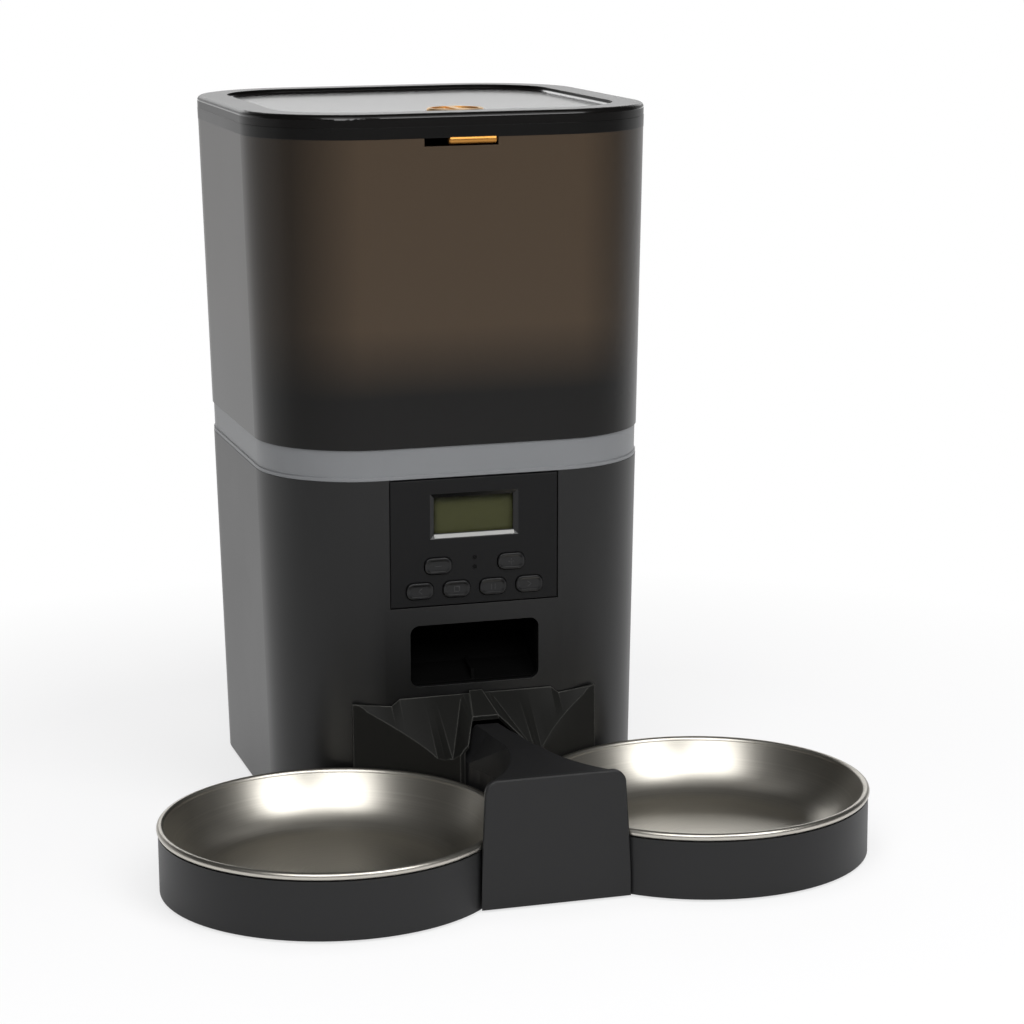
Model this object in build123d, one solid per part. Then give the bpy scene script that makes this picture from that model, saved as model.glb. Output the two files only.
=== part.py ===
from build123d import *
import math
import os

# Automatic pet feeder: a drafted column with a lift-off food hopper over a powered base,
# and a twin-bowl stand that docks to the column's front and is fed through a splitter.
# Millimetres. X runs across the bowls, Y from the bowls (-) to the column's back (+), Z up.
# Pieces are drawn about the column's own axis and shifted along Y as they are written, so
# that the origin is the centre of the whole feeder's footprint, on the floor.

# ---------------------------------------------------------------- column and its draft
column_height = 310.0
column_width = 165.0
column_depth = 178.8
column_corner = 42.5
column_lean = 1.31
foot_height = 1.6
lean = math.tan(math.radians(column_lean))

# base housing
base_top = 154.5
base_wall = 2.6
base_deck = 2.8
base_plate_thickness = 5.0
base_plate_gap = 0.3
foot_length = 22.0
foot_width = 9.0
foot_inset = 30.0
screw_radius = 2.6
screw_head_height = 1.6
screw_inset = 13.0
base_screw_length = 14.0

# waist ring
ring_height = 13.6
ring_wall = 3.2
ring_recess = 0.6
ring_lip_height = 1.6
ring_lip_recess = 0.1
ring_flange = 2.2
ring_flange_width = 9.0

# hopper tank
tank_wall = 2.4
tank_floor = 2.6
skirt_wall = 2.0
skirt_gap = 0.6
skirt_depth = 7.5
tank_hole_radius = 51.0
tank_neck_wall = 2.2
tank_neck_depth = 8.4
funnel_wall = 2.0
funnel_top = 203.0
funnel_gap = 0.8
funnel_flange = 4.0
funnel_throat_radius = 46.0
funnel_throat_length = 12.0

# lid and its lock
lid_edge = 5.7
lid_edge_round = 2.2
lid_rim_width = 12.5
lid_recess = 2.0
lid_plate = 2.5
lid_wall = 3.0
liner_gap = 0.9
liner_depth = 4.9
liner_wall = 2.0
liner_floor = 1.6
seal_gap = 0.15
seal_height = 2.6
seal_seat = 0.7
knob_radius = 12.2
knob_setback = 28.5
knob_gap = 0.2
stem_radius = 4.5
running_gap = 0.06
crank_length = 10.0
crank_width = 6.0
crank_thickness = 1.4
crank_pin_radius = 1.5
crank_half_turn = 30.0
crank_pin_gap = 0.35
bolt_travel = 10.0
bolt_bar_length = 21.0
bolt_bar_radius = 1.9
bolt_bar_drop = 5.7
bolt_plate_thickness = 2.0
bolt_plate_width = 18.0
bolt_arm_width = 12.0
bolt_gap = 0.6
desiccant_radius = 33.0
desiccant_offset = 12.0
desiccant_cover_thickness = 1.4
desiccant_pack_thickness = 2.4
desiccant_gap = 0.35
vent_count = 12
vent_width = 2.2
vent_length = 13.0
vent_ring_radius = 20.0

# feed outlet and inner chute
outlet_width = 57.9
outlet_low = 61.9
outlet_high = 89.3
outlet_corner = 4.0
chute_wall = 1.8
chute_gap = 0.4
chute_kink_setback = 13.0
chute_kink_rise = 6.2
chute_back_height = 115.0
chute_neck_drop = 14.0
chute_throat_depth = 26.0
divider_thickness = 1.6
divider_height = 5.0
divider_length = 12.0

# metering cup, rotor and shield
cup_radius = 48.0
cup_wall = 2.0
cup_floor = 2.4
cup_depth = 34.5
cup_flange = 2.2
cup_flange_width = 9.0
deck_hole_gap = 0.6
drop_inner_radius = 22.0
drop_outer_radius = 46.0
drop_half_angle = 34.0
vane_count = 6
vane_thickness = 2.4
vane_gap = 1.5
vane_height = 29.5
vane_floor_gap = 0.8
hub_radius = 9.0
hub_dome = 4.0
shield_half_angle = 42.0
shield_thickness = 1.8
shield_inner_radius = 12.0
wiper_thickness = 1.6
wiper_gap = 0.5
shaft_radius = 4.0
shaft_gap = 0.05
shaft_flat = 3.1

# gear train
gear_module = 1.0
gear_width = 6.0
gear_backlash = 0.30
pressure_angle = 20.0
output_teeth = 30
idler_small_teeth = 14
idler_large_teeth = 32
pinion_teeth = 12
addendum = 0.9
dedendum = 1.15
gearbox_wall = 1.8
gearbox_floor = 2.0
gearbox_cover_thickness = 2.4
gearbox_gap = 2.0
gear_layer_gap = 2.4
axle_radius = 1.5
motor_radius = 12.0
motor_length = 30.0
motor_shaft_radius = 1.0

# control panel, in the plane of the leaning front wall
panel_width = 75.0
panel_low = 97.8
panel_high = 153.8
panel_thickness = 2.4
panel_gap = 0.3
panel_seat_width = 3.0
panel_seat_thickness = 2.0
window_width = 35.6
window_height = 16.0
window_rise = 11.6
window_bevel = 2.0
window_bevel_depth = 1.5
lens_thickness = 1.0
lens_border = 2.0
display_depth = 2.4
display_border = 3.0
button_width = 12.0
button_height = 7.2
button_corner = 3.0
button_stand = 1.1
button_gap = 0.25
button_travel = 0.8
button_flange = 0.9
button_flange_thickness = 0.8
upper_button_offset = 16.4
upper_button_drop = 10.2
lower_button_pitch = 16.4
lower_button_drop = 20.9
light_radius = 0.85
light_gap = 0.08
light_drops = (7.5, 11.7)
keypad_thickness = 1.0
dome_radius = 2.4
dome_height = 0.9
board_width = 66.0
board_height = 50.0
board_thickness = 1.6
board_setback = 6.6
chip_size = 14.0
chip_height = 1.4
plug_length = 12.0
plug_width = 6.0
plug_height = 4.0
can_radius = 3.2
can_height = 6.0
boss_radius = 2.6
lower_boss_drop = 8.0
seat_gap = 1.0
cup_screw_radius = 1.1

# power
inlet_radius = 4.0
inlet_bore_radius = 2.8
inlet_depth = 9.0
inlet_pin_radius = 1.0
inlet_offset = 32.0
inlet_height = 20.0
cell_radius = 17.1
cell_length = 61.5
cell_gap = 1.0
cell_count = 3
bay_wall = 2.0
bay_setback = 58.4
contact_thickness = 0.8
contact_half_width = 6.0
contact_radius = 5.0
contact_spring_length = 5.0
door_border = 3.0
door_thickness = 2.2
door_gap = 0.4
door_travel = 8.0
door_recess = 0.3
door_grip_half = 12.0

# bowls and stand
rim_radius = 71.5
rim_bead = 1.6
rim_height = 28.7
bowl_rim_spacing = 18.0
bowl_wall = 0.9
bowl_floor_radius = 52.5
bowl_step_radius = 43.0
bowl_step_height = 1.0
bowl_floor_height = 4.4
bowl_wall_bulge = 5.0
rim_gap = 0.6
tray_clearance = 1.0
tray_floor = 1.8
holder_wall = 1.5
holder_inset = 0.6
holder_top_gap = 0.3
web_thickness = 2.4
pad_radius = 6.0
tongue_width = 40.0
tongue_thickness = 3.0
tongue_reach = 12.0
tongue_gap = 0.6
tongue_notch_depth = 6.0
stand_gap = 0.6

# front plate and bridge cover between the bowls
plate_ahead = 52.8
plate_thickness = 2.4
plate_height = 54.4
plate_half_width = 32.4
plate_top_half_width = 29.2
plate_corner = 5.5
bridge_drop = 1.1
bridge_back_height = 37.0
bridge_brow_ahead = 8.0
bridge_fall_length = 38.0
bridge_fall_shares = (0.1842, 0.3684, 0.5789, 0.8158)
bridge_ledge_height = 35.5
bridge_ledge = 1.6
bridge_wall = 2.2
bridge_spine_half = 5.0
bridge_spine_height = 48.0
bridge_tail_gap = 1.1
bridge_tail_half = 15.0

# food splitter
splitter_half_width = 55.0
splitter_ledge_drop = 4.4
splitter_ledge_half = 34.3
splitter_wall = 2.0
splitter_skin = 1.8
splitter_gap = 0.3
splitter_lift = 20.0
wing_wall = 1.55
wing_root_half = 37.9
wing_root_drop = 2.9
wing_tip_height = 56.5
wing_curve = 0.85
mouth_half = 23.4
mouth_height = 36.0
ridge_back_half = 2.9
ridge_front_half = 5.8
ridge_front_reach = 16.0
splitter_cut_margin = 30.0
ridge_rise = 1.3
ridge_front_height = 51.2
crest_half = 12.6
crest_reach = 33.6
crest_height = 44.3
crease_back_half = 6.5
crease_front_half = 18.5
crease_front_height = 37.2

# ---------------------------------------------------------------- worked-out positions
ring_top = base_top + ring_height
lid_low = column_height - lid_edge
base_low = foot_height
front_foot = -column_depth / 2
base_plate_top = base_low + base_plate_thickness
bay_centre = column_depth / 2 - bay_setback


def front_at(height):
    """Y of the column's front face at a height."""
    return front_foot - lean * height


def half_width_at(height):
    """Half the column's width at a height."""
    return column_width / 2 + lean * height


corner_x = column_width / 2 - column_corner
corner_y = front_foot + column_corner
splitter_ledge = outlet_low - splitter_ledge_drop
splitter_high = max(splitter_ledge + ridge_rise, wing_tip_height)
splitter_back = front_at(splitter_high + splitter_lift) - splitter_gap
corner_clear_radius = column_corner + lean * (splitter_high + splitter_lift) + splitter_gap
arc_radius = rim_radius + rim_gap
bowl_x = rim_radius + bowl_rim_spacing / 2
bowl_reach = corner_clear_radius + wing_wall + arc_radius
bowl_y = corner_y - math.sqrt(bowl_reach ** 2 - (bowl_x - corner_x) ** 2)
lid_half_depth = column_depth / 2 + lean * lid_low
plate_front = bowl_y - plate_ahead
bridge_front = plate_front + plate_thickness
bridge_brow = bowl_y - bridge_brow_ahead
bridge_back = bridge_brow + bridge_fall_length
bridge_tail = splitter_back - ridge_front_reach - bridge_tail_gap
feeder_front = bowl_y - rim_radius
column_y = -(feeder_front + lid_half_depth) / 2


def write(name, shape):
    """Write one named piece, moved from the column's axis to the feeder's origin."""
    export_step(Pos(0, column_y, 0) * shape, os.path.join("parts", name + ".step"))


def column_block(low, high, inset=0.0):
    """Solid slice of the drafted column between two heights, pulled in by an inset."""
    width = column_width + 2 * (lean * low - inset)
    depth = column_depth + 2 * (lean * low - inset)
    corner = column_corner + lean * low - inset
    face = Plane.XY.offset(low) * RectangleRounded(width, depth, corner)
    return extrude(face, high - low, taper=-column_lean)


def box(x0, x1, y0, y1, z0, z1):
    """Box between two corners."""
    return Pos((x0 + x1) / 2, (y0 + y1) / 2, (z0 + z1) / 2) * Box(x1 - x0, y1 - y0, z1 - z0)


def rod(x, y, z0, z1, radius):
    """Upright cylinder between two heights."""
    return Pos(x, y, (z0 + z1) / 2) * Cylinder(radius, z1 - z0)


def between(a, b, share):
    """Point a given share of the way from one number to another."""
    return a + (b - a) * share


def side_prism(points, half_width):
    """Prism across X from a closed outline of (y, z) points."""
    face = make_face(Polyline(*[(0, y, z) for y, z in points], close=True))
    return extrude(face, half_width, dir=(1, 0, 0), both=True)


def sector(inner, outer, half_angle, low, high):
    """Ring sector that opens towards -Y, between two heights."""
    ring = rod(0, 0, low, high, outer) - rod(0, 0, low, high, inner)
    reach = 2 * outer
    side = reach * math.tan(math.radians(half_angle))
    wedge = make_face(Polyline((0, 0), (-side, -reach), (side, -reach), close=True))
    return ring & (Pos(0, 0, low) * extrude(wedge, high - low))


# ---------------------------------------------------------------- lean frame of the panel
panel_centre = (panel_low + panel_high) / 2
panel_height = panel_high - panel_low
outward = (0, -math.cos(math.radians(column_lean)), -math.sin(math.radians(column_lean)))
panel_plane = Plane(origin=(0, front_at(panel_centre), panel_centre), x_dir=(1, 0, 0), z_dir=outward)
board_back = -(board_setback + board_thickness)


def on_panel(shape):
    """Move a piece drawn flat (u, v, out) into the leaning plane of the front wall."""
    return panel_plane * shape


def slab(u, v, width, height, low, high, corner=0.0):
    """Flat block in panel coordinates, between two depths."""
    flat = RectangleRounded(width, height, corner) if corner else Rectangle(width, height)
    return extrude(Pos(u, v, low) * flat, high - low)


button_places = {
    "button_upper_left": (-upper_button_offset, -upper_button_drop),
    "button_upper_right": (upper_button_offset, -upper_button_drop),
    "button_lower_far_left": (-1.5 * lower_button_pitch, -lower_button_drop),
    "button_lower_left": (-0.5 * lower_button_pitch, -lower_button_drop),
    "button_lower_right": (0.5 * lower_button_pitch, -lower_button_drop),
    "button_lower_far_right": (1.5 * lower_button_pitch, -lower_button_drop),
}
boss_u = board_width / 2 - boss_radius
boss_places = [(side * boss_u, v) for side in (-1, 1) for v in (board_height / 2 - boss_radius, -lower_boss_drop)]


# ---------------------------------------------------------------- base housing
def foot_places():
    """Centres of the column's four feet."""
    x = column_width / 2 - foot_inset
    y = column_depth / 2 - foot_inset / 2
    return [(sx * x, sy * y) for sx in (-1, 1) for sy in (-1, 1)]


def base_screw_places():
    """Centres of the four screws that hold the base plate."""
    x = column_width / 2 - screw_inset
    y = column_depth / 2 - column_corner
    return [(sx * x, sy * y) for sx in (-1, 1) for sy in (-1, 1)]


def outlet_cutter(grow, near, far):
    """Rounded bar through the front wall at the outlet."""
    mid = (outlet_low + outlet_high) / 2
    face = Plane.XZ * (Pos(0, mid) * RectangleRounded(
        outlet_width + 2 * grow, outlet_high - outlet_low + 2 * grow, outlet_corner + grow))
    return Pos(0, near, 0) * extrude(face, near - far)


def tongue_slot():
    """Slot in the front wall that takes the stand's tongue."""
    half = tongue_width / 2 + tongue_gap
    low = base_plate_top + tongue_gap - 0.4
    return box(-half, half, front_foot - 5, front_foot + base_wall + 5,
               low, low + tongue_thickness + 2 * tongue_gap)


def inlet_axis_point():
    """Where the inlet's axis meets the column's back face."""
    return (inlet_offset, column_depth / 2 + lean * inlet_height, inlet_height)


def inlet_rod(start, end, radius):
    """Cylinder along Y at the inlet, between two depths inside the back face."""
    x, y, z = inlet_axis_point()
    return Pos(x, y - (start + end) / 2, z) * (Rot(90, 0, 0) * Cylinder(radius, abs(end - start)))


def base_housing():
    """Outer shell of the base, with its deck, panel seat, outlet and openings."""
    shell = column_block(base_low, base_top) - column_block(base_low - 1, base_top - base_deck, base_wall)
    shell -= rod(0, 0, base_top - base_deck - 1, base_top + 1, cup_radius + cup_wall + deck_hole_gap)
    hole_w = panel_width + 2 * panel_gap
    hole_h = panel_height + 2 * panel_gap
    seat_w = hole_w + 2 * panel_seat_width
    seat_h = hole_h + panel_seat_width
    seat_low = -(panel_thickness + panel_seat_thickness)
    seat = slab(0, -panel_seat_width / 2, seat_w, seat_h, seat_low, -panel_thickness)
    shell += on_panel(seat) & column_block(base_low, base_top)
    shell -= on_panel(slab(0, 0, board_width + 2 * seat_gap, board_height + 2 * seat_gap, seat_low - 1, 1))
    shell -= on_panel(slab(0, base_top / 2, hole_w, hole_h + base_top, -panel_thickness, 5))
    shell -= outlet_cutter(0, front_at(0) + base_wall + 3, front_at(base_top) - 5)
    shell -= tongue_slot()
    shell -= inlet_rod(-2, base_wall + 2, inlet_radius + 0.3)
    for x, y in cup_screw_places():
        shell -= rod(x, y, base_top - base_deck - 1, base_top + 1, cup_screw_radius + 0.1)
    post_inner = base_top - base_deck
    for x, y in base_screw_places():
        post = rod(x, y, base_plate_top, post_inner, screw_radius + 2.2) & column_block(base_low, base_top)
        shell += post - rod(x, y, base_plate_top - 1, base_plate_top + 12, screw_radius * 0.5)
    return shell


def bay_size():
    """Inner width, length and height of the battery bay."""
    width = cell_count * 2 * cell_radius + (cell_count + 1) * cell_gap
    length = cell_length + contact_spring_length + 2 * contact_thickness + cell_gap
    return width, length, 2 * cell_radius + cell_gap


def base_plate():
    """Bottom cover with the battery bay moulded into it."""
    width, length, height = bay_size()
    plate = column_block(base_low, base_plate_top, base_wall + base_plate_gap)
    y0, y1 = bay_centre - length / 2, bay_centre + length / 2
    plate += box(-width / 2 - bay_wall, width / 2 + bay_wall, y0 - bay_wall, y1 + bay_wall,
                 base_plate_top - 0.5, base_plate_top + height + bay_wall)
    plate -= box(-width / 2, width / 2, y0, y1, base_low - 1, base_plate_top + height)
    door_low = base_low - 1
    door_high = base_low + door_recess + door_thickness + door_gap
    edge = door_border + door_gap
    plate -= box(-width / 2 - edge, width / 2 + edge, y0 - edge, y1 + edge + door_travel, door_low, door_high)
    for index in range(1, cell_count):
        x = -width / 2 + index * (2 * cell_radius + cell_gap) + cell_gap / 2
        plate += box(x - cell_gap / 3, x + cell_gap / 3, y0, y1,
                     base_plate_top + height * 0.6, base_plate_top + height)
    for x, y in base_screw_places():
        plate -= rod(x, y, base_low - 1, base_plate_top + 1, screw_radius * 0.6)
        plate -= rod(x, y, base_low - 1, base_low + screw_head_height + 0.4, screw_radius + 0.4)
    return plate


def battery_door():
    """Sliding door under the battery bay, with a ribbed thumb grip."""
    width, length, _ = bay_size()
    y0, y1 = bay_centre - length / 2 - door_border, bay_centre + length / 2 + door_border
    low = base_low + door_recess
    door = box(-width / 2 - door_border, width / 2 + door_border, y0, y1, low, low + door_thickness)
    for index in range(5):
        y = y0 + 8 + index * 3
        door -= box(-door_grip_half, door_grip_half, y, y + 1.2, low - 1, low + 0.8)
    return door


def battery_contacts():
    """Contact plates at the front of each cell and a coil-shaped tip at the back."""
    width, length, _ = bay_size()
    solids = []
    z = base_plate_top + cell_radius
    for index in range(cell_count):
        x = -width / 2 + cell_gap + cell_radius + index * (2 * cell_radius + cell_gap)
        y0, y1 = bay_centre - length / 2, bay_centre + length / 2
        half = contact_half_width
        solids.append(box(x - half, x + half, y0, y0 + contact_thickness, z - half, z + half))
        back = box(x - half, x + half, y1 - contact_thickness, y1, z - half, z + half)
        cone = Cone(contact_radius, contact_radius * 0.5, contact_spring_length - 1)
        tip = Pos(x, y1 - contact_thickness - (contact_spring_length - 1) / 2, z) * (Rot(90, 0, 0) * cone)
        solids.append(back + tip)
    return Compound(solids)


def screws(places, head_low, length):
    """Pan-head screws driven upwards, as separate solids."""
    made = []
    for x, y in places:
        head = rod(x, y, head_low, head_low + screw_head_height, screw_radius)
        head -= Pos(x, y, head_low) * Box(screw_radius * 1.3, 0.7, 1.2)
        head -= Pos(x, y, head_low) * Box(0.7, screw_radius * 1.3, 1.2)
        made.append(head + rod(x, y, head_low + screw_head_height, head_low + length, screw_radius * 0.48))
    return Compound(made)


def feet():
    """Four rounded rubber feet under the column."""
    made = []
    for x, y in foot_places():
        pad = Pos(x, y, 0) * extrude(RectangleRounded(foot_length, foot_width, foot_width * 0.48), foot_height)
        made.append(chamfer(pad.edges().group_by(Axis.Z)[0], 0.5))
    return Compound(made)


def waist_ring():
    """Grey ring between base and hopper, with a screw flange inside."""
    ring = column_block(base_top, ring_top, ring_recess)
    ring += column_block(base_top, base_top + ring_lip_height, ring_lip_recess)
    ring -= column_block(base_top - 1, ring_top + 1, ring_recess + ring_wall)
    flange = column_block(base_top, base_top + ring_flange, ring_recess + ring_wall - 0.5)
    flange -= column_block(base_top - 1, base_top + ring_flange + 1, ring_recess + ring_wall + ring_flange_width)
    return ring + flange


# ---------------------------------------------------------------- control panel
def control_panel():
    """Front panel with a bevelled display window, button holes and light holes."""
    panel = slab(0, 0, panel_width, panel_height, -panel_thickness, 0)
    panel = chamfer(panel.edges().group_by(Axis.Z)[-1], 0.35)
    for u, v in boss_places:
        panel += Pos(u, v, -(panel_thickness + board_setback) / 2) * Cylinder(boss_radius, board_setback - panel_thickness)
        panel -= Pos(u, v, -board_setback) * Cylinder(0.8, 4)
    wide = Pos(0, window_rise, 0) * Rectangle(window_width + 2 * window_bevel, window_height + 2 * window_bevel)
    narrow = Pos(0, window_rise, -window_bevel_depth) * Rectangle(window_width, window_height)
    panel -= loft([wide, narrow], ruled=True)
    panel -= slab(0, window_rise, window_width, window_height, -panel_thickness - 1, 0)
    for u, v in button_places.values():
        panel -= slab(u, v, button_width + 2 * button_gap, button_height + 2 * button_gap,
                      -panel_thickness - 1, 1, button_corner + button_gap)
    for drop in light_drops:
        panel -= Pos(0, -drop, -panel_thickness / 2) * Cylinder(light_radius + light_gap, panel_thickness + 2)
    return on_panel(panel)


def button(u, v):
    """One push button with a retaining flange behind the panel."""
    back = -(panel_thickness + button_gap)
    cap = slab(u, v, button_width, button_height, back, button_stand, button_corner)
    cap = fillet(cap.edges().group_by(Axis.Z)[-1], 0.7)
    cap += slab(u, v, button_width + 2 * button_flange, button_height + 2 * button_flange,
                back - button_flange_thickness, back, button_corner + button_flange)
    return on_panel(cap)


def keypad_mat():
    """Rubber sheet with one dome under each button and a slot round the lights."""
    face = -board_setback + keypad_thickness
    width = 3 * lower_button_pitch + button_width
    top = -upper_button_drop + button_height / 2
    bottom = -board_height / 2 + 0.6
    mat = slab(0, (top + bottom) / 2, width, top - bottom, -board_setback, face)
    for u, v in button_places.values():
        mat += Pos(u, v, face + dome_height / 2) * Cone(dome_radius, dome_radius * 0.7, dome_height)
    light_low = max(light_drops) + 3 * light_radius
    light_high = min(light_drops) - 3 * light_radius
    mat -= slab(0, -(light_low + light_high) / 2, 6, light_low - light_high + 2, -board_setback - 1, 0)
    for u, v in boss_places:
        mat -= Pos(u, v, -board_setback) * Cylinder(boss_radius + 0.5, 6)
    return on_panel(mat)


def window_lens():
    """Clear window behind the display opening."""
    back = -(panel_thickness + lens_thickness)
    return on_panel(slab(0, window_rise, window_width + 2 * lens_border, window_height + 2 * lens_border,
                         back, -panel_thickness, 1.0))


def display_module():
    """Liquid-crystal display in its frame, standing on the circuit board."""
    front = -(panel_thickness + lens_thickness + 0.3)
    width = window_width + 2 * display_border
    height = window_height + 2 * display_border
    module = slab(0, window_rise, width, height, -board_setback, front - 0.8)
    module += slab(0, window_rise, window_width + 1, window_height + 1, front - 0.8, front)
    return on_panel(module)


def indicator_lights():
    """Two small light pins that end flush in the panel."""
    made = []
    for drop in light_drops:
        pin = Pos(0, -drop, -(board_setback + 0.1) / 2) * Cylinder(light_radius, board_setback - 0.1)
        made.append(on_panel(pin))
    return Compound(made)


def circuit_board():
    """Main board with its controller and connector blocks on the back."""
    board = slab(0, 0, board_width, board_height, board_back, -board_setback)
    for u, v in boss_places:
        board -= Pos(u, v, -board_setback) * Cylinder(1.1, 2 * board_thickness + 1)
    board += slab(-board_width * 0.12, board_height * 0.12, chip_size, chip_size, board_back - chip_height,
                  board_back)
    board += slab(board_width * 0.27, board_height * 0.16, plug_length, plug_width, board_back - plug_height,
                  board_back)
    board += slab(-board_width * 0.36, -board_height * 0.2, plug_width, plug_length, board_back - plug_height,
                  board_back)
    board += Pos(board_width * 0.21, -board_height * 0.2, board_back - can_height / 2) * Cylinder(
        can_radius, can_height)
    return on_panel(board)


def board_screws():
    """Four small screws through the board into the panel's bosses."""
    made = []
    for u, v in boss_places:
        head = Pos(u, v, board_back - 0.6) * Cylinder(1.9, 1.2)
        stem = Pos(u, v, board_back + 1.6) * Cylinder(0.75, 3.2)
        made.append(on_panel(head + stem))
    return Compound(made)


def dc_inlet():
    """Power inlet barrel with its centre pin, behind the back wall."""
    body = inlet_rod(0.4, inlet_depth + 3, inlet_radius)
    x, y, z = inlet_axis_point()
    body += box(x - 5.5, x + 5.5, y - base_wall - inlet_depth - 3, y - base_wall - 0.6, z - 5.5, z + 5.5)
    body -= inlet_rod(-1, inlet_depth, inlet_bore_radius)
    return body + inlet_rod(1.2, inlet_depth + 1, inlet_pin_radius)


# ---------------------------------------------------------------- metering mechanism
cup_low = base_top - cup_depth
rotor_low = cup_low + cup_floor + vane_floor_gap
rotor_high = rotor_low + vane_height
shield_low = base_top + cup_flange


def cup_screw_places():
    """Three places on the cup's flange that clear the shield."""
    radius = cup_radius + cup_wall + cup_flange_width / 2
    return [(radius * math.cos(math.radians(a)), radius * math.sin(math.radians(a))) for a in (-20, 90, 200)]


def metering_cup():
    """Round cup that hangs in the deck, with a drop hole in its floor."""
    cup = rod(0, 0, cup_low, shield_low, cup_radius + cup_wall)
    cup += rod(0, 0, base_top, shield_low, cup_radius + cup_wall + cup_flange_width)
    cup -= rod(0, 0, cup_low + cup_floor, shield_low + 1, cup_radius)
    cup -= rod(0, 0, cup_low - 1, shield_low, shaft_radius + 4 * shaft_gap)
    cup -= sector(drop_inner_radius, drop_outer_radius, drop_half_angle, cup_low - 1, cup_low + cup_floor + 1)
    for x, y in cup_screw_places():
        cup -= rod(x, y, base_top - 1, shield_low + 1, 1.3)
    return cup


def cup_screws():
    """Three screws down through the cup's flange."""
    made = []
    for x, y in cup_screw_places():
        made.append(rod(x, y, shield_low, shield_low + 1.3, 2.4) + rod(x, y, base_top - 2, shield_low, cup_screw_radius))
    return Compound(made)


def portion_rotor():
    """Star wheel whose vanes part the cup into equal portions."""
    reach = cup_radius - vane_gap
    hub = rod(0, 0, rotor_low, rotor_high, hub_radius)
    rotor = hub + Pos(0, 0, rotor_high + hub_dome / 2) * Cone(hub_radius, hub_radius * 0.45, hub_dome)
    turn = 360 / vane_count
    profile = [(hub_radius - 2, rotor_low), (reach, rotor_low), (reach, rotor_high - 5),
               (reach - 3, rotor_high), (hub_radius - 2, rotor_high)]
    face = make_face(Polyline(*[(x, 0, z) for x, z in profile], close=True))
    for index in range(vane_count):
        vane = extrude(face, vane_thickness / 2, dir=(0, 1, 0), both=True)
        rotor += Rot(0, 0, (index + 0.5) * turn - 90) * vane
    bore_top = rotor_high - 3
    bore = rod(0, 0, rotor_low - 1, bore_top, shaft_radius + shaft_gap)
    flat_y = shaft_flat + shaft_gap
    bore -= box(-10, 10, flat_y, 10, rotor_low - 2, bore_top + 1)
    return rotor - bore


def discharge_shield():
    """Fixed cover over the drop hole, so only a measured portion falls."""
    outer = cup_radius + cup_wall + cup_flange_width - 2
    plate = sector(shield_inner_radius, outer, shield_half_angle, shield_low, shield_low + shield_thickness)
    return plate


def wiper_blades():
    """Two rubber strips under the shield's edges that level the food."""
    made = []
    angle = shield_half_angle - 3
    low = max(rotor_high + wiper_gap, shield_low - 8)
    for side in (-1, 1):
        strip = box(hub_radius + hub_dome, cup_radius - 1, -wiper_thickness / 2, wiper_thickness / 2, low, shield_low)
        made.append(Rot(0, 0, -90 + side * angle) * strip)
    return Compound(made)


# ---------------------------------------------------------------- gear train
centre_small = gear_module * (output_teeth + idler_small_teeth) / 2
centre_large = gear_module * (idler_large_teeth + pinion_teeth) / 2
idler_y = centre_small
pinion_y = centre_small + centre_large
cover_low = cup_low - gearbox_cover_thickness
upper_gear_low = cover_low - 1.0 - gear_width
lower_gear_low = upper_gear_low - gear_layer_gap - gear_width
gearbox_low = lower_gear_low - 1.0 - gearbox_floor


def involute(angle):
    """Involute function of a pressure angle in radians."""
    return math.tan(angle) - angle


def gear_outline(teeth, first_tooth):
    """Closed outline of a spur gear with one tooth centred on a given angle in degrees."""
    pitch = gear_module * teeth / 2
    base = pitch * math.cos(math.radians(pressure_angle))
    tip = pitch + addendum * gear_module
    root = pitch - dedendum * gear_module
    half = math.pi / (2 * teeth) - gear_backlash / (4 * pitch)
    start = max(base, root)
    points = []
    for index in range(teeth):
        centre = math.radians(first_tooth) + 2 * math.pi * index / teeth
        flank = []
        for step in range(4):
            radius = start + (tip - start) * step / 3
            bend = involute(math.acos(min(1.0, base / radius)))
            swing = half + involute(math.radians(pressure_angle)) - bend
            flank.append((radius, swing))
        flank.insert(0, (root, flank[0][1]))
        for radius, swing in flank:
            points.append((radius * math.cos(centre - swing), radius * math.sin(centre - swing)))
        for radius, swing in reversed(flank):
            points.append((radius * math.cos(centre + swing), radius * math.sin(centre + swing)))
    return points


def gear(teeth, first_tooth, y, low, bore):
    """Spur gear on an upright axis at x = 0."""
    face = make_face(Polyline(*gear_outline(teeth, first_tooth), close=True))
    wheel = Pos(0, y, low) * extrude(face, gear_width)
    return wheel - rod(0, y, low - 1, low + gear_width + 1, bore)


def output_gear():
    """Last gear of the train, on the rotor's shaft, one tooth facing the idler."""
    return gear(output_teeth, 90, 0, upper_gear_low, shaft_radius + shaft_gap)


def idler_gear():
    """Compound idler: a large wheel under a small one, on one pin."""
    bore = axle_radius + shaft_gap
    small = gear(idler_small_teeth, 270 - 180 / idler_small_teeth, idler_y, upper_gear_low, bore)
    large = gear(idler_large_teeth, 90, idler_y, lower_gear_low, bore)
    collar = rod(0, idler_y, lower_gear_low + gear_width, upper_gear_low, 4.5)
    collar -= rod(0, idler_y, lower_gear_low, upper_gear_low + 1, bore)
    return small + large + collar


def motor_pinion():
    """Motor pinion on its thin shaft, a gap facing the idler's tooth."""
    wheel = gear(pinion_teeth, 270 - 180 / pinion_teeth, pinion_y, lower_gear_low, motor_shaft_radius * 0.5)
    return wheel + rod(0, pinion_y, gearbox_low - 3, lower_gear_low + gear_width + 0.5, motor_shaft_radius)


def drive_shaft():
    """Shaft from the gearbox floor into the rotor's flatted socket."""
    low = gearbox_low + gearbox_floor
    top = rotor_high - 4
    shaft = rod(0, 0, low + 0.3, top, shaft_radius)
    return shaft - box(-10, 10, shaft_flat, 10, rotor_low - 0.6, top + 1)


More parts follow.
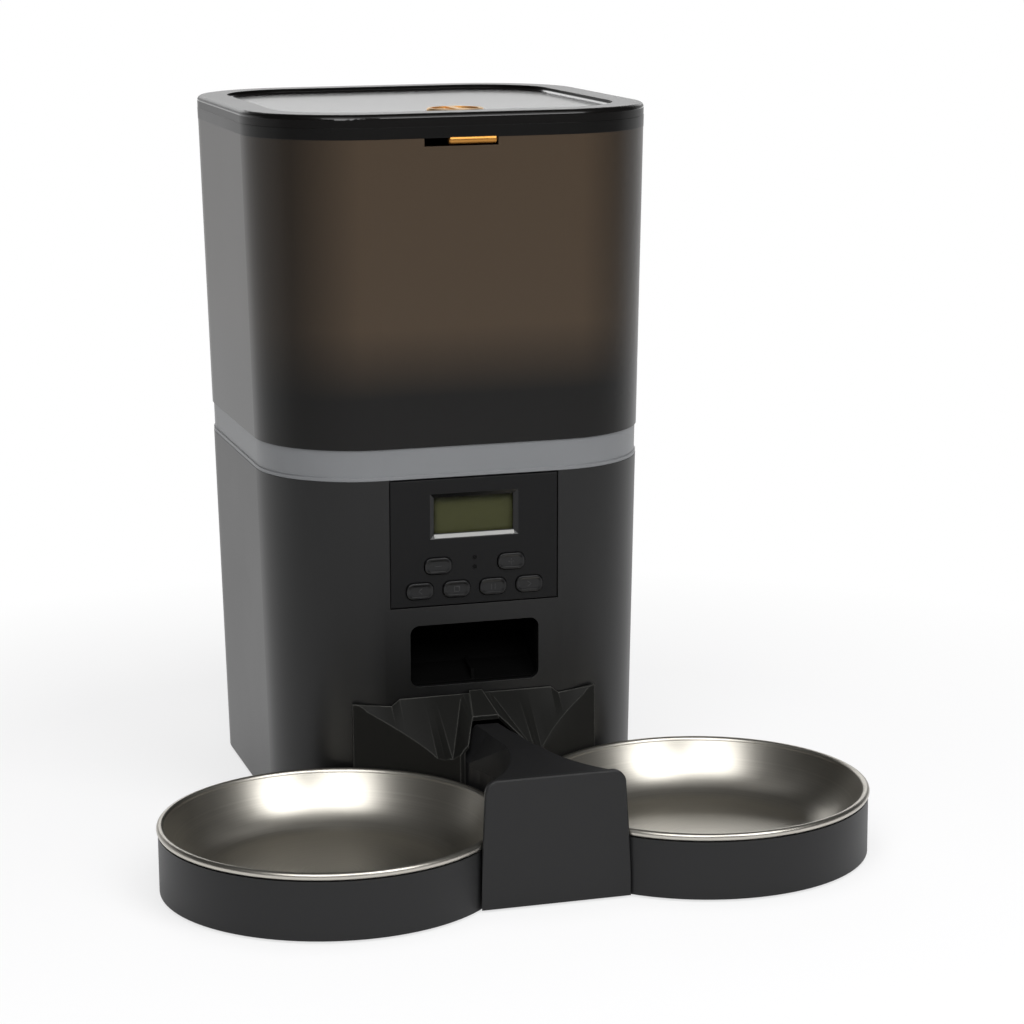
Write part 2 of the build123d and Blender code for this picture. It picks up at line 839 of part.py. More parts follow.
def gearbox_outline(grow):
    """Plan of the gearbox: a rounded case round the three gear axes."""
    large = gear_module * (idler_large_teeth / 2 + addendum) + gearbox_gap + grow
    front = gear_module * (output_teeth / 2 + addendum) + gearbox_gap + grow
    back = pinion_y + gear_module * (pinion_teeth / 2 + addendum) + gearbox_gap + grow
    length = front + back
    return Pos(0, (back - front) / 2) * RectangleRounded(2 * large, length, large * 0.7)


def gearbox_housing():
    """Tray of the gearbox, with bosses for the shaft and the idler pin."""
    case = Pos(0, 0, gearbox_low) * extrude(gearbox_outline(gearbox_wall), cover_low - gearbox_low)
    case -= Pos(0, 0, gearbox_low + gearbox_floor) * extrude(gearbox_outline(0), cover_low)
    case -= rod(0, pinion_y, gearbox_low - 1, gearbox_low + gearbox_floor + 1, motor_shaft_radius * 2)
    case -= rod(0, idler_y, gearbox_low - 1, gearbox_low + gearbox_floor + 1, axle_radius)
    return case


def gearbox_cover():
    """Cover of the gearbox, held against the cup's floor."""
    cover = Pos(0, 0, cover_low) * extrude(gearbox_outline(gearbox_wall), gearbox_cover_thickness)
    cover -= rod(0, 0, cover_low - 1, cup_low + 1, shaft_radius + 4 * shaft_gap)
    return cover


def gearbox_screw_places():
    """Two screws on the box's long sides, clear of the gears."""
    large = gear_module * (idler_large_teeth / 2 + addendum) + gearbox_gap
    return [(-large - gearbox_wall / 2, idler_y), (large + gearbox_wall / 2, idler_y)]


def idler_pin():
    """Pin that carries the idler between the gearbox floor and cover."""
    return rod(0, idler_y, gearbox_low, cover_low, axle_radius)


def feed_motor():
    """Small can motor under the gearbox, with its rear boss and two tags."""
    top = gearbox_low
    can = rod(0, pinion_y, top - motor_length, top, motor_radius)
    can -= box(-motor_radius, motor_radius, pinion_y + motor_radius * 0.83, pinion_y + motor_radius + 1,
               top - motor_length - 1, top - 2)
    can -= box(-motor_radius, motor_radius, pinion_y - motor_radius - 1, pinion_y - motor_radius * 0.83,
               top - motor_length - 1, top - 2)
    can = can + rod(0, pinion_y, top - motor_length - 2, top - motor_length, 4)
    for side in (-1, 1):
        can += box(side * 7 - 1, side * 7 + 1, pinion_y - 0.4, pinion_y + 0.4,
                   top - motor_length - 4, top - motor_length)
    return can - rod(0, pinion_y, top - 4, top + 1, motor_shaft_radius * 2)


# ---------------------------------------------------------------- chute
def chute_front():
    """Y of the chute's front edge, just inside the front wall at the outlet."""
    return front_at(outlet_low) + base_wall + chute_gap


def chute_profiles():
    """Outer and inner side outlines of the chute, as (y, z) points."""
    front = chute_front()
    back = -drop_inner_radius + 0.5
    throat_front = -drop_outer_radius - 2.0
    low = outlet_low + 0.3
    high = outlet_high - 0.3
    kink = (front + chute_kink_setback, low + chute_kink_rise)
    back_rise = chute_back_height
    neck = cup_low - chute_neck_drop
    inner = [(front - 1, low), kink, (back, back_rise), (back, cup_low + 1), (throat_front, cup_low + 1),
             (throat_front, neck), (front + 3, high), (front - 1, high)]
    wall = chute_wall
    outer = [(front, low - wall), (kink[0] + wall * 0.4, kink[1] - wall * 1.2), (back + wall, back_rise - wall * 0.8),
             (back + wall, cup_low), (throat_front - wall, cup_low), (throat_front - wall, neck - wall * 0.4),
             (front + 3, high + wall), (front, high + wall)]
    return outer, inner


def feed_chute():
    """Duct from the cup's drop hole down to the outlet, with the splitting rib."""
    outer, inner = chute_profiles()
    half = outlet_width / 2
    duct = side_prism(outer, half + chute_wall) - side_prism(inner, half)
    front = chute_front()
    low = outlet_low + 0.3
    slope = chute_kink_rise / chute_kink_setback
    rib = [(front, low - 0.5), (front + divider_length, low - 0.5 + slope * divider_length),
           (front + divider_length, low + slope * divider_length + divider_height * 0.4),
           (front + 1, low + divider_height)]
    return duct + side_prism(rib, divider_thickness / 2)


# ---------------------------------------------------------------- hopper
def rounded_plate(width, depth, corner, height):
    """Rounded rectangle lying at a height, for lofts."""
    return Plane.XY.offset(height) * RectangleRounded(width, depth, corner)


def bar_centre():
    """Height of the lock bar's centre and its outer and inner Y."""
    height = lid_low - bolt_bar_drop
    outer = front_at(height) - 0.6
    return height, outer, outer + 2 * bolt_bar_radius


def hopper_tank():
    """Smoked tank: drafted walls, floor with a round neck, skirt, and the lock notch."""
    inner_low = ring_top + tank_floor
    tank = column_block(ring_top, lid_low) - column_block(inner_low, lid_low + 1, tank_wall)
    skirt_inset = ring_recess + ring_wall + skirt_gap
    skirt = column_block(ring_top - skirt_depth, ring_top + 0.5, skirt_inset)
    skirt -= column_block(ring_top - skirt_depth - 1, ring_top + 1, skirt_inset + skirt_wall)
    neck = rod(0, 0, ring_top - tank_neck_depth, ring_top + 0.5, tank_hole_radius + tank_neck_wall)
    tank += skirt + neck
    tank -= rod(0, 0, ring_top - tank_neck_depth - 1, inner_low + 1, tank_hole_radius)
    height, outer, inner = bar_centre()
    half = bolt_bar_length / 2 + bolt_gap
    low = height - bolt_bar_radius - bolt_gap
    high = height + bolt_bar_radius + bolt_gap
    back = inner + 3
    tank -= box(-half, half, outer - 1, back, low, lid_low + 1)
    tank -= box(-half - bolt_travel, half, outer - 1, back, low, high)
    return tank


def hopper_funnel():
    """Black funnel that leads the food from the tank's walls to the round throat."""
    low = ring_top + tank_floor + 1.0
    width = 2 * (half_width_at(low) - tank_wall - funnel_gap)
    depth = 2 * (-front_at(low) - tank_wall - funnel_gap)
    corner = column_corner + lean * low - tank_wall - funnel_gap
    neck = 2 * funnel_throat_radius

    def body(inset, raise_by):
        throat = rounded_plate(neck - 2 * inset, neck - 2 * inset, funnel_throat_radius - inset - 0.05, low + raise_by)
        mouth_z = funnel_top - funnel_flange + raise_by
        mouth = rounded_plate(width - 2 * inset, depth - 2 * inset, corner - inset, mouth_z)
        cone = loft([throat, mouth], ruled=True)
        band = extrude(rounded_plate(width - 2 * inset, depth - 2 * inset, corner - inset, mouth_z), funnel_flange)
        tube = extrude(rounded_plate(neck - 2 * inset, neck - 2 * inset,
                                     funnel_throat_radius - inset - 0.05, low + raise_by), -funnel_throat_length)
        return cone + band + tube

    shell = body(0, 0) - body(funnel_wall, 1.6)
    shell -= extrude(rounded_plate(neck - 2 * funnel_wall, neck - 2 * funnel_wall,
                                   funnel_throat_radius - funnel_wall - 0.05, low - funnel_throat_length - 1), 6)
    shell -= extrude(rounded_plate(width - 2 * funnel_wall, depth - 2 * funnel_wall,
                                   corner - funnel_wall, funnel_top - 1), 4)
    return shell


# ---------------------------------------------------------------- lid and lock
pocket_top = column_height - lid_recess - lid_plate
liner_low = lid_low - liner_depth
liner_inset = tank_wall + liner_gap
cavity_low = liner_low + liner_floor
knob_y = front_at(column_height) + knob_setback
bolt_plate_low = cavity_low + 0.2


def lid_cover():
    """Outer lid: rounded edge, raised rim and a recessed panel."""
    lid = column_block(lid_low, column_height)
    lid = fillet(lid.edges().group_by(Axis.Z)[-1], lid_edge_round)
    recess = column_block(column_height - lid_recess, column_height + 1, lid_rim_width + lid_recess * 0.6)
    recess = chamfer(recess.faces().sort_by(Axis.Z)[0].edges(), 0.6)
    lid -= recess
    lid -= column_block(lid_low - 1, pocket_top, lid_wall)
    lid -= rod(0, knob_y, pocket_top - 1, column_height, stem_radius + running_gap)
    return lid


def liner_notch():
    """Room in the liner's front wall for the bolt's arm over its travel."""
    height, _, inner = bar_centre()
    half = bolt_arm_width / 2 + bolt_gap
    return box(-half - bolt_travel, half, inner - 6, inner + 6, liner_low - 1, pocket_top + 1)


def lid_liner():
    """Black inner tray that plugs the tank and hides the lock."""
    liner = column_block(liner_low, pocket_top - 0.1, liner_inset)
    liner -= column_block(cavity_low, pocket_top + 1, liner_inset + liner_wall)
    seal_low = liner_low + 1.0
    groove = column_block(seal_low, seal_low + seal_height, liner_inset - 2)
    groove -= column_block(seal_low - 1, seal_low + seal_height + 1, liner_inset + seal_seat)
    liner -= groove
    wall = rod(0, desiccant_offset, liner_low, pocket_top - 0.4, desiccant_radius + 2)
    liner += wall
    liner -= rod(0, desiccant_offset, liner_low - 1, pocket_top + 1, desiccant_radius)
    liner -= liner_notch()
    _, _, inner = bar_centre()
    half = bolt_bar_length / 2 + bolt_gap
    liner -= box(-half - bolt_travel, half, inner - 6, inner + 0.5, liner_low - 1, pocket_top + 1)
    return liner


def lid_seal():
    """Rubber ring round the liner, open where the lock passes."""
    seal_low = liner_low + 1.0
    ring = column_block(seal_low, seal_low + seal_height, tank_wall + seal_gap)
    ring -= column_block(seal_low - 1, seal_low + seal_height + 1, liner_inset + seal_seat)
    _, _, inner = bar_centre()
    half = bolt_bar_length / 2 + 2 * bolt_gap
    ring -= box(-half - bolt_travel, half, inner - 8, inner + 8, seal_low - 1, seal_low + seal_height + 1)
    return ring


def crank_place(turn):
    """XY of the crank pin when the knob is turned from its middle position."""
    angle = math.radians(-90 + turn)
    return crank_length * math.cos(angle), knob_y + crank_length * math.sin(angle)


def lock_knob():
    """Round lock knob with a thumb rib, a stem and the crank under the lid."""
    low = column_height - lid_recess + knob_gap
    knob = rod(0, knob_y, low, column_height, knob_radius)
    knob = chamfer(knob.edges().group_by(Axis.Z)[-1], 0.5)
    dish = rod(0, knob_y, column_height - 0.7, column_height + 1, knob_radius - 2)
    dish -= box(-1.6, 1.6, knob_y - knob_radius, knob_y + knob_radius, column_height - 1, column_height + 2)
    knob -= dish
    crank_high = pocket_top - 0.2
    crank_low = crank_high - crank_thickness
    knob += rod(0, knob_y, crank_low, low, stem_radius)
    pin_x, pin_y = crank_place(crank_half_turn)
    arm = Pos(crank_length / 2, 0, 0) * Box(crank_length + crank_width, crank_width, crank_thickness)
    arm = Pos(0, knob_y, (crank_low + crank_high) / 2) * (Rot(0, 0, -90 + crank_half_turn) * arm)
    return knob + arm + rod(pin_x, pin_y, bolt_plate_low + 0.2, crank_low, crank_pin_radius)


def lock_bolt():
    """Sliding bolt: slotted plate, arm and the bar that slips under the tank's rim."""
    height, outer, inner = bar_centre()
    bar = Pos(0, (outer + inner) / 2, height) * (Rot(0, 90, 0) * Cylinder(bolt_bar_radius, bolt_bar_length))
    bar = chamfer(bar.edges().filter_by(GeomType.CIRCLE), 0.5)
    plate_high = bolt_plate_low + bolt_plate_thickness
    pin_x, pin_y = crank_place(crank_half_turn)
    plate_back = knob_y + 1.5 - crank_length * 0.5
    arm_front = inner - 0.4
    arm_back = inner + 3.2
    half = bolt_arm_width / 2
    bolt = bar + box(-half, half, arm_front, arm_back, height - 1.2, plate_high)
    plate_start = front_at(bolt_plate_low) + liner_inset + liner_wall + bolt_gap
    bolt += box(-bolt_plate_width / 2, bolt_plate_width / 2, plate_start, plate_back, bolt_plate_low, plate_high)
    slot = crank_pin_radius + crank_pin_gap
    slot_far = knob_y - crank_length
    slot_near = knob_y - crank_length * math.cos(math.radians(crank_half_turn))
    bolt -= box(pin_x - slot, pin_x + slot, slot_far - slot, slot_near + slot, bolt_plate_low - 1, plate_high + 1)
    return bolt


def desiccant_cover():
    """Vented cover in the underside of the lid."""
    cover = rod(0, desiccant_offset, liner_low, liner_low + desiccant_cover_thickness, desiccant_radius - desiccant_gap)
    rib = rod(0, desiccant_offset, liner_low, liner_low + 3.0, desiccant_radius - desiccant_gap)
    cover += rib - rod(0, desiccant_offset, liner_low - 1, liner_low + 4, desiccant_radius - desiccant_gap - 1.2)
    slot = Pos(vent_ring_radius, 0, 0) * Box(vent_length, vent_width, 4 * desiccant_cover_thickness)
    for index in range(vent_count):
        cover -= Pos(0, desiccant_offset, liner_low) * (Rot(0, 0, index * 360 / vent_count) * slot)
    return cover


def desiccant_pack():
    """Flat desiccant pack that lies on the vented cover."""
    low = liner_low + desiccant_cover_thickness
    pack = rod(0, desiccant_offset, low, low + desiccant_pack_thickness, desiccant_radius - 3)
    return chamfer(pack.edges(), 0.6)


# ---------------------------------------------------------------- bowls and stand
bowl_centres = [(-bowl_x, bowl_y), (bowl_x, bowl_y)]
bead_centre = rim_radius - rim_bead
bowl_top = rim_height - 2 * rim_bead
holder_top = bowl_top - holder_top_gap
holder_radius = rim_radius - holder_inset
web_top = tray_clearance + web_thickness


def bowl(x):
    """Spun steel bowl: stepped floor, curved wall and a rolled rim."""

    def half_section(inset):
        lift = bowl_floor_height + inset
        floor = bowl_floor_radius - inset * 0.3
        step = bowl_step_radius - inset * 0.4
        rim = bead_centre - 1.0 - inset
        high = rim_height - rim_bead
        middle_r = (floor + rim) / 2 + bowl_wall_bulge * 0.75
        middle_z = (lift + bowl_step_height + high) / 2 - bowl_wall_bulge * 0.75
        edges = Polyline((0, 0, lift), (step - 1.6, 0, lift), (step, 0, lift + bowl_step_height),
                         (floor, 0, lift + bowl_step_height))
        wall = ThreePointArc((floor, 0, lift + bowl_step_height), (middle_r, 0, middle_z), (rim, 0, high))
        close = Polyline((rim, 0, high), (rim, 0, high + inset * 9), (0, 0, high + inset * 9), (0, 0, lift))
        return make_face(edges + wall + close)

    outer = revolve(half_section(0.0001), Axis.Z)
    inner = revolve(half_section(bowl_wall), Axis.Z)
    bead = Pos(0, 0, rim_height - rim_bead) * Torus(bead_centre, rim_bead)
    return Pos(x, bowl_y, 0) * (outer - inner + bead)


def bowl_tray():
    """Twin ring holders on one floor, with the web and the docking tongue."""
    front = bridge_front + 2
    web_back = front_foot - stand_gap
    tray = box(-bowl_x / 2, bowl_x / 2, front, web_back, tray_clearance, web_top)
    tray -= column_block(0, base_top, -stand_gap)
    for x, y in bowl_centres:
        tray += rod(x, y, tray_clearance, holder_top, holder_radius)
    for x, y in bowl_centres:
        tray -= rod(x, y, tray_clearance + tray_floor, holder_top + 1, holder_radius - holder_wall)
    half = tongue_width / 2
    low = base_plate_top + tongue_gap
    tray += box(-half, half, web_back - 4, web_back, tray_clearance, low + tongue_thickness)
    tray += box(-half, half, web_back - 1, front_foot + tongue_reach, low, low + tongue_thickness)
    return tray


def tray_pads():
    """Rubber pads under the tray: three under each holder and one under the web."""
    made = []
    for x, y in bowl_centres:
        for angle in (80, 200, 320):
            turn = math.radians(angle)
            px = x + (holder_radius - 14) * math.cos(turn)
            py = y + (holder_radius - 14) * math.sin(turn)
            made.append(rod(px, py, 0, tray_clearance, pad_radius))
    return Compound(made)


def rim_columns(radius):
    """Two tall cylinders round the bowls' axes, for cutting clearance."""
    left, right = bowl_centres
    return rod(left[0], left[1], -1, column_height, radius) + rod(right[0], right[1], -1, column_height, radius)


def front_plate():
    """Upright plate between the bowls, narrower at the top, with rounded corners."""
    low = tray_clearance
    corners = [(-plate_half_width, low), (plate_half_width, low),
               (plate_top_half_width, plate_height), (-plate_top_half_width, plate_height)]
    face = make_face(Polyline(*[(x, plate_front, z) for x, z in corners], close=True))
    plate = extrude(face, plate_thickness, dir=(0, 1, 0))
    uprights = plate.edges().filter_by(Axis.Y).group_by(Axis.Z)[-1]
    plate = fillet(uprights, plate_corner)
    rim = plate.faces().sort_by(Axis.Y)[0].edges()
    plate = chamfer(rim.sort_by(Axis.Z)[1:], 0.5)
    return plate - rim_columns(arc_radius)


def bridge_half(y, radius):
    """Half-width between the two cylinders of a radius round the bowls, no wider than the tail."""
    across = math.sqrt(radius ** 2 - (y - bowl_y) ** 2)
    return bowl_x - across


def bridge_section(y, inset):
    """Cross-section of the saddle at a Y: a level or falling spine with a slope to each bowl."""
    top = plate_height - bridge_drop
    radius = arc_radius + bridge_ledge
    width = min(bridge_half(y, radius), plate_top_half_width)
    if y > bridge_back:
        width = min(width, bridge_tail_half)
    fall = max(0.0, min(1.0, (y - bridge_brow) / bridge_fall_length))
    edge = between(top, bridge_back_height, fall ** 1.15)
    back_fall = max(0.0, (y - bridge_brow) / (bridge_tail - bridge_brow))
    spine = between(top, bridge_spine_height, back_fall)
    flat = between(width - 0.5, bridge_spine_half, fall ** 0.6)
    flat = max(1.0, min(flat, width - 0.5))
    low = web_top if not inset else web_top - 1
    out = width - inset
    points = [(-out, low), (-out, edge - inset), (-flat + inset * 0.4, spine - inset),
              (flat - inset * 0.4, spine - inset), (out, edge - inset), (out, low)]
    return make_face(Polyline(*[(x, y, z) for x, z in points], close=True))


def bridge_cover():
    """Saddle between the bowls: level behind the plate, then a falling spine towards the splitter."""
    front, back = bridge_front, bridge_tail
    places = [front, between(front, bridge_brow, 0.53), bridge_brow]
    places += [between(bridge_brow, bridge_back, share) for share in bridge_fall_shares]
    places += [bridge_back, between(bridge_back, back, 0.41), back]
    outer = loft([bridge_section(y, 0) for y in places], ruled=True)
    inner_places = [front - 1] + places[1:-1] + [back - bridge_wall]
    inner = loft([bridge_section(y, bridge_wall) for y in inner_places], ruled=True)
    waist = box(-bowl_x, bowl_x, front, back, web_top - 2, bridge_ledge_height) - rim_columns(arc_radius)
    upper = box(-bowl_x, bowl_x, front, back, bridge_ledge_height, column_height)
    upper -= rim_columns(arc_radius + bridge_ledge)
    return (outer & (waist + upper)) - inner


# ---------------------------------------------------------------- splitter
def arc_y(x):
    """Y of the clearance arc behind a bowl at a given X."""
    return bowl_y + math.sqrt(arc_radius ** 2 - (bowl_x - x) ** 2)


def lip_height(x):
    """Height of the channel's front lip between the mouth and the wing's tip."""
    share = (x - mouth_half) / (splitter_half_width - mouth_half)
    return mouth_height + (wing_tip_height - mouth_height) * max(0.0, share) ** wing_curve


def channel_station(x):
    """Floor line of one channel at a distance from the middle, back to front, as (y, z)."""
    back = (splitter_back, splitter_ledge)
    ridge_front_y = splitter_back - ridge_front_reach
    crest_y = splitter_back - crest_reach
    crease_y = arc_y(crease_front_half)
    if x <= ridge_front_half:
        front = (ridge_front_y, ridge_front_height)
        middle = (between(back[0], front[0], 0.06), between(back[1], front[1], 0.06))
    elif x <= crest_half:
        share = (x - ridge_front_half) / (crest_half - ridge_front_half)
        front = (between(ridge_front_y, crest_y, share), between(ridge_front_height, crest_height, share))
        share = (x - crease_back_half) / (crease_front_half - crease_back_half)
        middle = (between(splitter_back, crease_y, share), between(splitter_ledge, crease_front_height, share))
        middle = (min(middle[0], splitter_back - 1.5), min(middle[1], splitter_ledge - 0.8))
    elif x <= crease_front_half:
        share = (x - crest_half) / (crease_front_half - crest_half)
        front = (arc_y(x) - 1.0, between(crest_height, crease_front_height, share))
        share = (x - crease_back_half) / (crease_front_half - crease_back_half)
        middle = (between(splitter_back, crease_y, share), between(splitter_ledge, crease_front_height, share))
        middle = (max(middle[0], front[0] + 1.5), middle[1])
    else:
        rise = 0.0
        if x > splitter_ledge_half:
            root = splitter_ledge - wing_root_drop
            share = min(1.0, (x - splitter_ledge_half) / (wing_root_half - splitter_ledge_half))
            tip_share = max(0.0, (x - wing_root_half) / (splitter_half_width - wing_root_half))
            rise = between(between(splitter_ledge, root, share), wing_tip_height, tip_share) - splitter_ledge
        back = (back[0], back[1] + rise)
        front = (min(arc_y(x), splitter_back - 1.0), max(lip_height(x), mouth_height))
        middle = (between(back[0], front[0], 0.94), between(back[1], front[1], 0.94))
    return back, middle, front


def channel_room(lower_by):
    """Space above one channel's floor, from the middle to beyond the wing's tip."""
    limits = [(0, ridge_front_half, 1), (ridge_front_half, crest_half, 4), (crest_half, crease_front_half, 3),
              (crease_front_half, mouth_half, 2), (mouth_half, splitter_ledge_half, 4),
              (splitter_ledge_half, wing_root_half, 1), (wing_root_half, splitter_half_width + 1, 5)]
    stations = [between(low, high, step / count) for low, high, count in limits for step in range(count)]
    stations.append(splitter_half_width + 1)
    faces = []
    high = splitter_high + splitter_cut_margin
    for x in stations:
        back, middle, front = channel_station(min(x, splitter_half_width))
        slope = (middle[1] - front[1]) / max(0.1, middle[0] - front[0])
        far = bowl_y
        points = [(splitter_back + 12, back[1]), back, middle, front,
                  (far, front[1] - max(0.05, min(slope, 0.3)) * (front[0] - far)), (far, high),
                  (splitter_back + 12, high)]
        faces.append(make_face(Polyline(*[(x, y, z - lower_by) for y, z in points], close=True)))
    return loft(faces, ruled=True)


def splitter_plan(low, high):
    """Upright block of the splitter's outline between two heights."""
    crest_y = splitter_back - crest_reach
    ridge_y = splitter_back - ridge_front_reach
    reach = splitter_half_width
    outline = [(-reach, -corner_clear_radius), (-reach, crest_y), (-crest_half, crest_y),
               (-ridge_front_half, ridge_y), (ridge_front_half, ridge_y), (crest_half, crest_y),
               (reach, crest_y), (reach, corner_y)]
    outline[0] = (-reach, corner_y)
    face = make_face(Polyline(*outline, close=True))
    block = Pos(0, 0, low) * extrude(face, high - low)
    block -= box(-corner_x, corner_x, splitter_back, 0, low - 1, high + 1)
    for side in (-1, 1):
        block -= rod(side * corner_x, corner_y, low - 1, high + 1, corner_clear_radius)
    block -= box(-reach - 1, reach + 1, corner_y - splitter_cut_margin, 0, low - 1, high + 1)
    return block - rim_columns(arc_radius)


def food_splitter():
    """Thin moulding that parts the food left and right: ridge, two channels and wings."""
    low = web_top
    body = splitter_plan(low, splitter_high + 8)
    inner = box(-splitter_half_width + splitter_wall, splitter_half_width - splitter_wall,
                bowl_y, splitter_back - splitter_wall, low - 1, splitter_high + splitter_cut_margin)
    inner -= rim_columns(arc_radius + splitter_wall)
    for side in (-1, 1):
        inner -= rod(side * corner_x, corner_y, low - 2, splitter_high + splitter_cut_margin + 1,
                     corner_clear_radius + splitter_wall)
    right = channel_room(0)
    right_below = channel_room(splitter_skin)
    body -= right
    body -= mirror(right, about=Plane.YZ)
    inner -= right_below
    inner -= mirror(right_below, about=Plane.YZ)
    body -= inner
    ridge_y = splitter_back - ridge_front_reach
    back_top = splitter_ledge + ridge_rise
    back_face = Plane.XZ.offset(-splitter_back) * (Pos(0, back_top - splitter_skin) * Rectangle(
        2 * ridge_back_half, 2 * splitter_skin))
    front_face = Plane.XZ.offset(-ridge_y) * (Pos(0, ridge_front_height + 0.2 - splitter_skin / 2) * Rectangle(
        2 * ridge_front_half, splitter_skin))
    body += loft([back_face, front_face], ruled=True)
    half = tongue_width / 2 + tongue_gap
    body -= box(-half, half, splitter_back - tongue_notch_depth, splitter_back + 3, low - 1,
                base_plate_top + 2 * tongue_gap + tongue_thickness)
    return body


# ---------------------------------------------------------------- write the pieces
os.makedirs("parts", exist_ok=True)
pieces = {
    "base_housing": base_housing,
    "base_plate": base_plate,
    "battery_door": battery_door,
    "battery_contacts": battery_contacts,
    "base_screws": lambda: screws(base_screw_places(), base_low + 0.2, base_screw_length),
    "column_feet": feet,
    "waist_ring": waist_ring,
    "control_panel": control_panel,
    "keypad_mat": keypad_mat,
    "window_lens": window_lens,
    "display_module": display_module,
    "indicator_lights": indicator_lights,
    "circuit_board": circuit_board,
    "board_screws": board_screws,
    "dc_inlet": dc_inlet,
    "metering_cup": metering_cup,
    "cup_screws": cup_screws,
    "portion_rotor": portion_rotor,
    "discharge_shield": discharge_shield,
    "wiper_blades": wiper_blades,
    "output_gear": output_gear,
    "idler_gear": idler_gear,
    "motor_pinion": motor_pinion,
    "drive_shaft": drive_shaft,
    "gearbox_housing": gearbox_housing,
    "gearbox_cover": gearbox_cover,
    "idler_pin": idler_pin,
    "feed_motor": feed_motor,
    "feed_chute": feed_chute,
    "hopper_tank": hopper_tank,
    "hopper_funnel": hopper_funnel,
    "lid_cover": lid_cover,
    "lid_liner": lid_liner,
    "lid_seal": lid_seal,
    "lock_knob": lock_knob,
    "lock_bolt": lock_bolt,
    "desiccant_cover": desiccant_cover,
    "desiccant_pack": desiccant_pack,
    "bowl_left": lambda: bowl(-bowl_x),
    "bowl_right": lambda: bowl(bowl_x),
    "bowl_tray": bowl_tray,
    "tray_pads": tray_pads,
    "front_plate": front_plate,
    "bridge_cover": bridge_cover,
    "food_splitter": food_splitter,
}
for name, build in pieces.items():
    write(name, build())
for name, (u, v) in button_places.items():
    write(name, button(u, v))
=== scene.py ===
"""Looks of the automatic pet feeder: finishes, fine rounded pieces, studio and camera."""

import logging
import math
from collections.abc import Callable, Sequence
from dataclasses import dataclass, field
from enum import Enum

import bmesh
import bpy
from mathutils import Matrix, Vector

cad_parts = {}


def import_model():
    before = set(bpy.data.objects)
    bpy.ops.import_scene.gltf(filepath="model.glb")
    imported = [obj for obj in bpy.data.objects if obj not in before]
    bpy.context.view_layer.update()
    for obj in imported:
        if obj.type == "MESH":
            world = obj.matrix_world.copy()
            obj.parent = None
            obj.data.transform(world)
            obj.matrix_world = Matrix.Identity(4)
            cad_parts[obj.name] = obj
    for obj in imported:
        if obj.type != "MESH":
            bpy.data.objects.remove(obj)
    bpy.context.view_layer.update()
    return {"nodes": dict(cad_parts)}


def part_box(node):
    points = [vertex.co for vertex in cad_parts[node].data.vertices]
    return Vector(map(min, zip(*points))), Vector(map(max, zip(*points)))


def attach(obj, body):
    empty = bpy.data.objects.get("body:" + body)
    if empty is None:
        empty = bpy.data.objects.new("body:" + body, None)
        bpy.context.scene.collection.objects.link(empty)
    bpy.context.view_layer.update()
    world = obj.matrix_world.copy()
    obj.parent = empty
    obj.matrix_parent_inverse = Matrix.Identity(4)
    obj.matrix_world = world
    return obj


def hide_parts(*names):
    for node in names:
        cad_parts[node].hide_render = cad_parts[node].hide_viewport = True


log = logging.getLogger("feeder")
Colour = tuple[float, float, float]
Point = tuple[float, float, float]


# ---------------------------------------------------------------- shader graph
class Wire:
    """A shader socket that takes part in ordinary arithmetic."""

    def __init__(self, graph: "Graph", socket: bpy.types.NodeSocket) -> None:
        """Wrap one output socket.

        Args:
            graph: the graph that the socket belongs to.
            socket: the output socket.
        """
        self.graph = graph
        self.socket = socket

    def _maths(self, operation: str, *values: "Wire | float") -> "Wire":
        """Add one Math node and return its result."""
        node = self.graph.node("ShaderNodeMath", {"operation": operation}, dict(enumerate(values)))
        return Wire(self.graph, node.outputs[0])

    def __add__(self, other: "Wire | float") -> "Wire":
        """Sum."""
        return self._maths("ADD", self, other)

    __radd__ = __add__

    def __sub__(self, other: "Wire | float") -> "Wire":
        """Difference."""
        return self._maths("SUBTRACT", self, other)

    def __rsub__(self, other: float) -> "Wire":
        """Reflected difference."""
        return self._maths("SUBTRACT", other, self)

    def __mul__(self, other: "Wire | float") -> "Wire":
        """Product."""
        return self._maths("MULTIPLY", self, other)

    __rmul__ = __mul__

    def __truediv__(self, other: "Wire | float") -> "Wire":
        """Quotient."""
        return self._maths("DIVIDE", self, other)

    def __rtruediv__(self, other: float) -> "Wire":
        """Reflected quotient."""
        return self._maths("DIVIDE", other, self)

    def __pow__(self, other: float) -> "Wire":
        """Power."""
        return self._maths("POWER", self, other)

    def __rpow__(self, other: float) -> "Wire":
        """Reflected power."""
        return self._maths("POWER", other, self)

    def clamp(self) -> "Wire":
        """Value held between 0 and 1."""
        return self._maths("MINIMUM", self._maths("MAXIMUM", self, 0.0), 1.0)

    def above(self, edge: float, width: float) -> "Wire":
        """Soft step from 0 to 1 round an edge."""
        return ((self - edge) / width + 0.5).clamp()


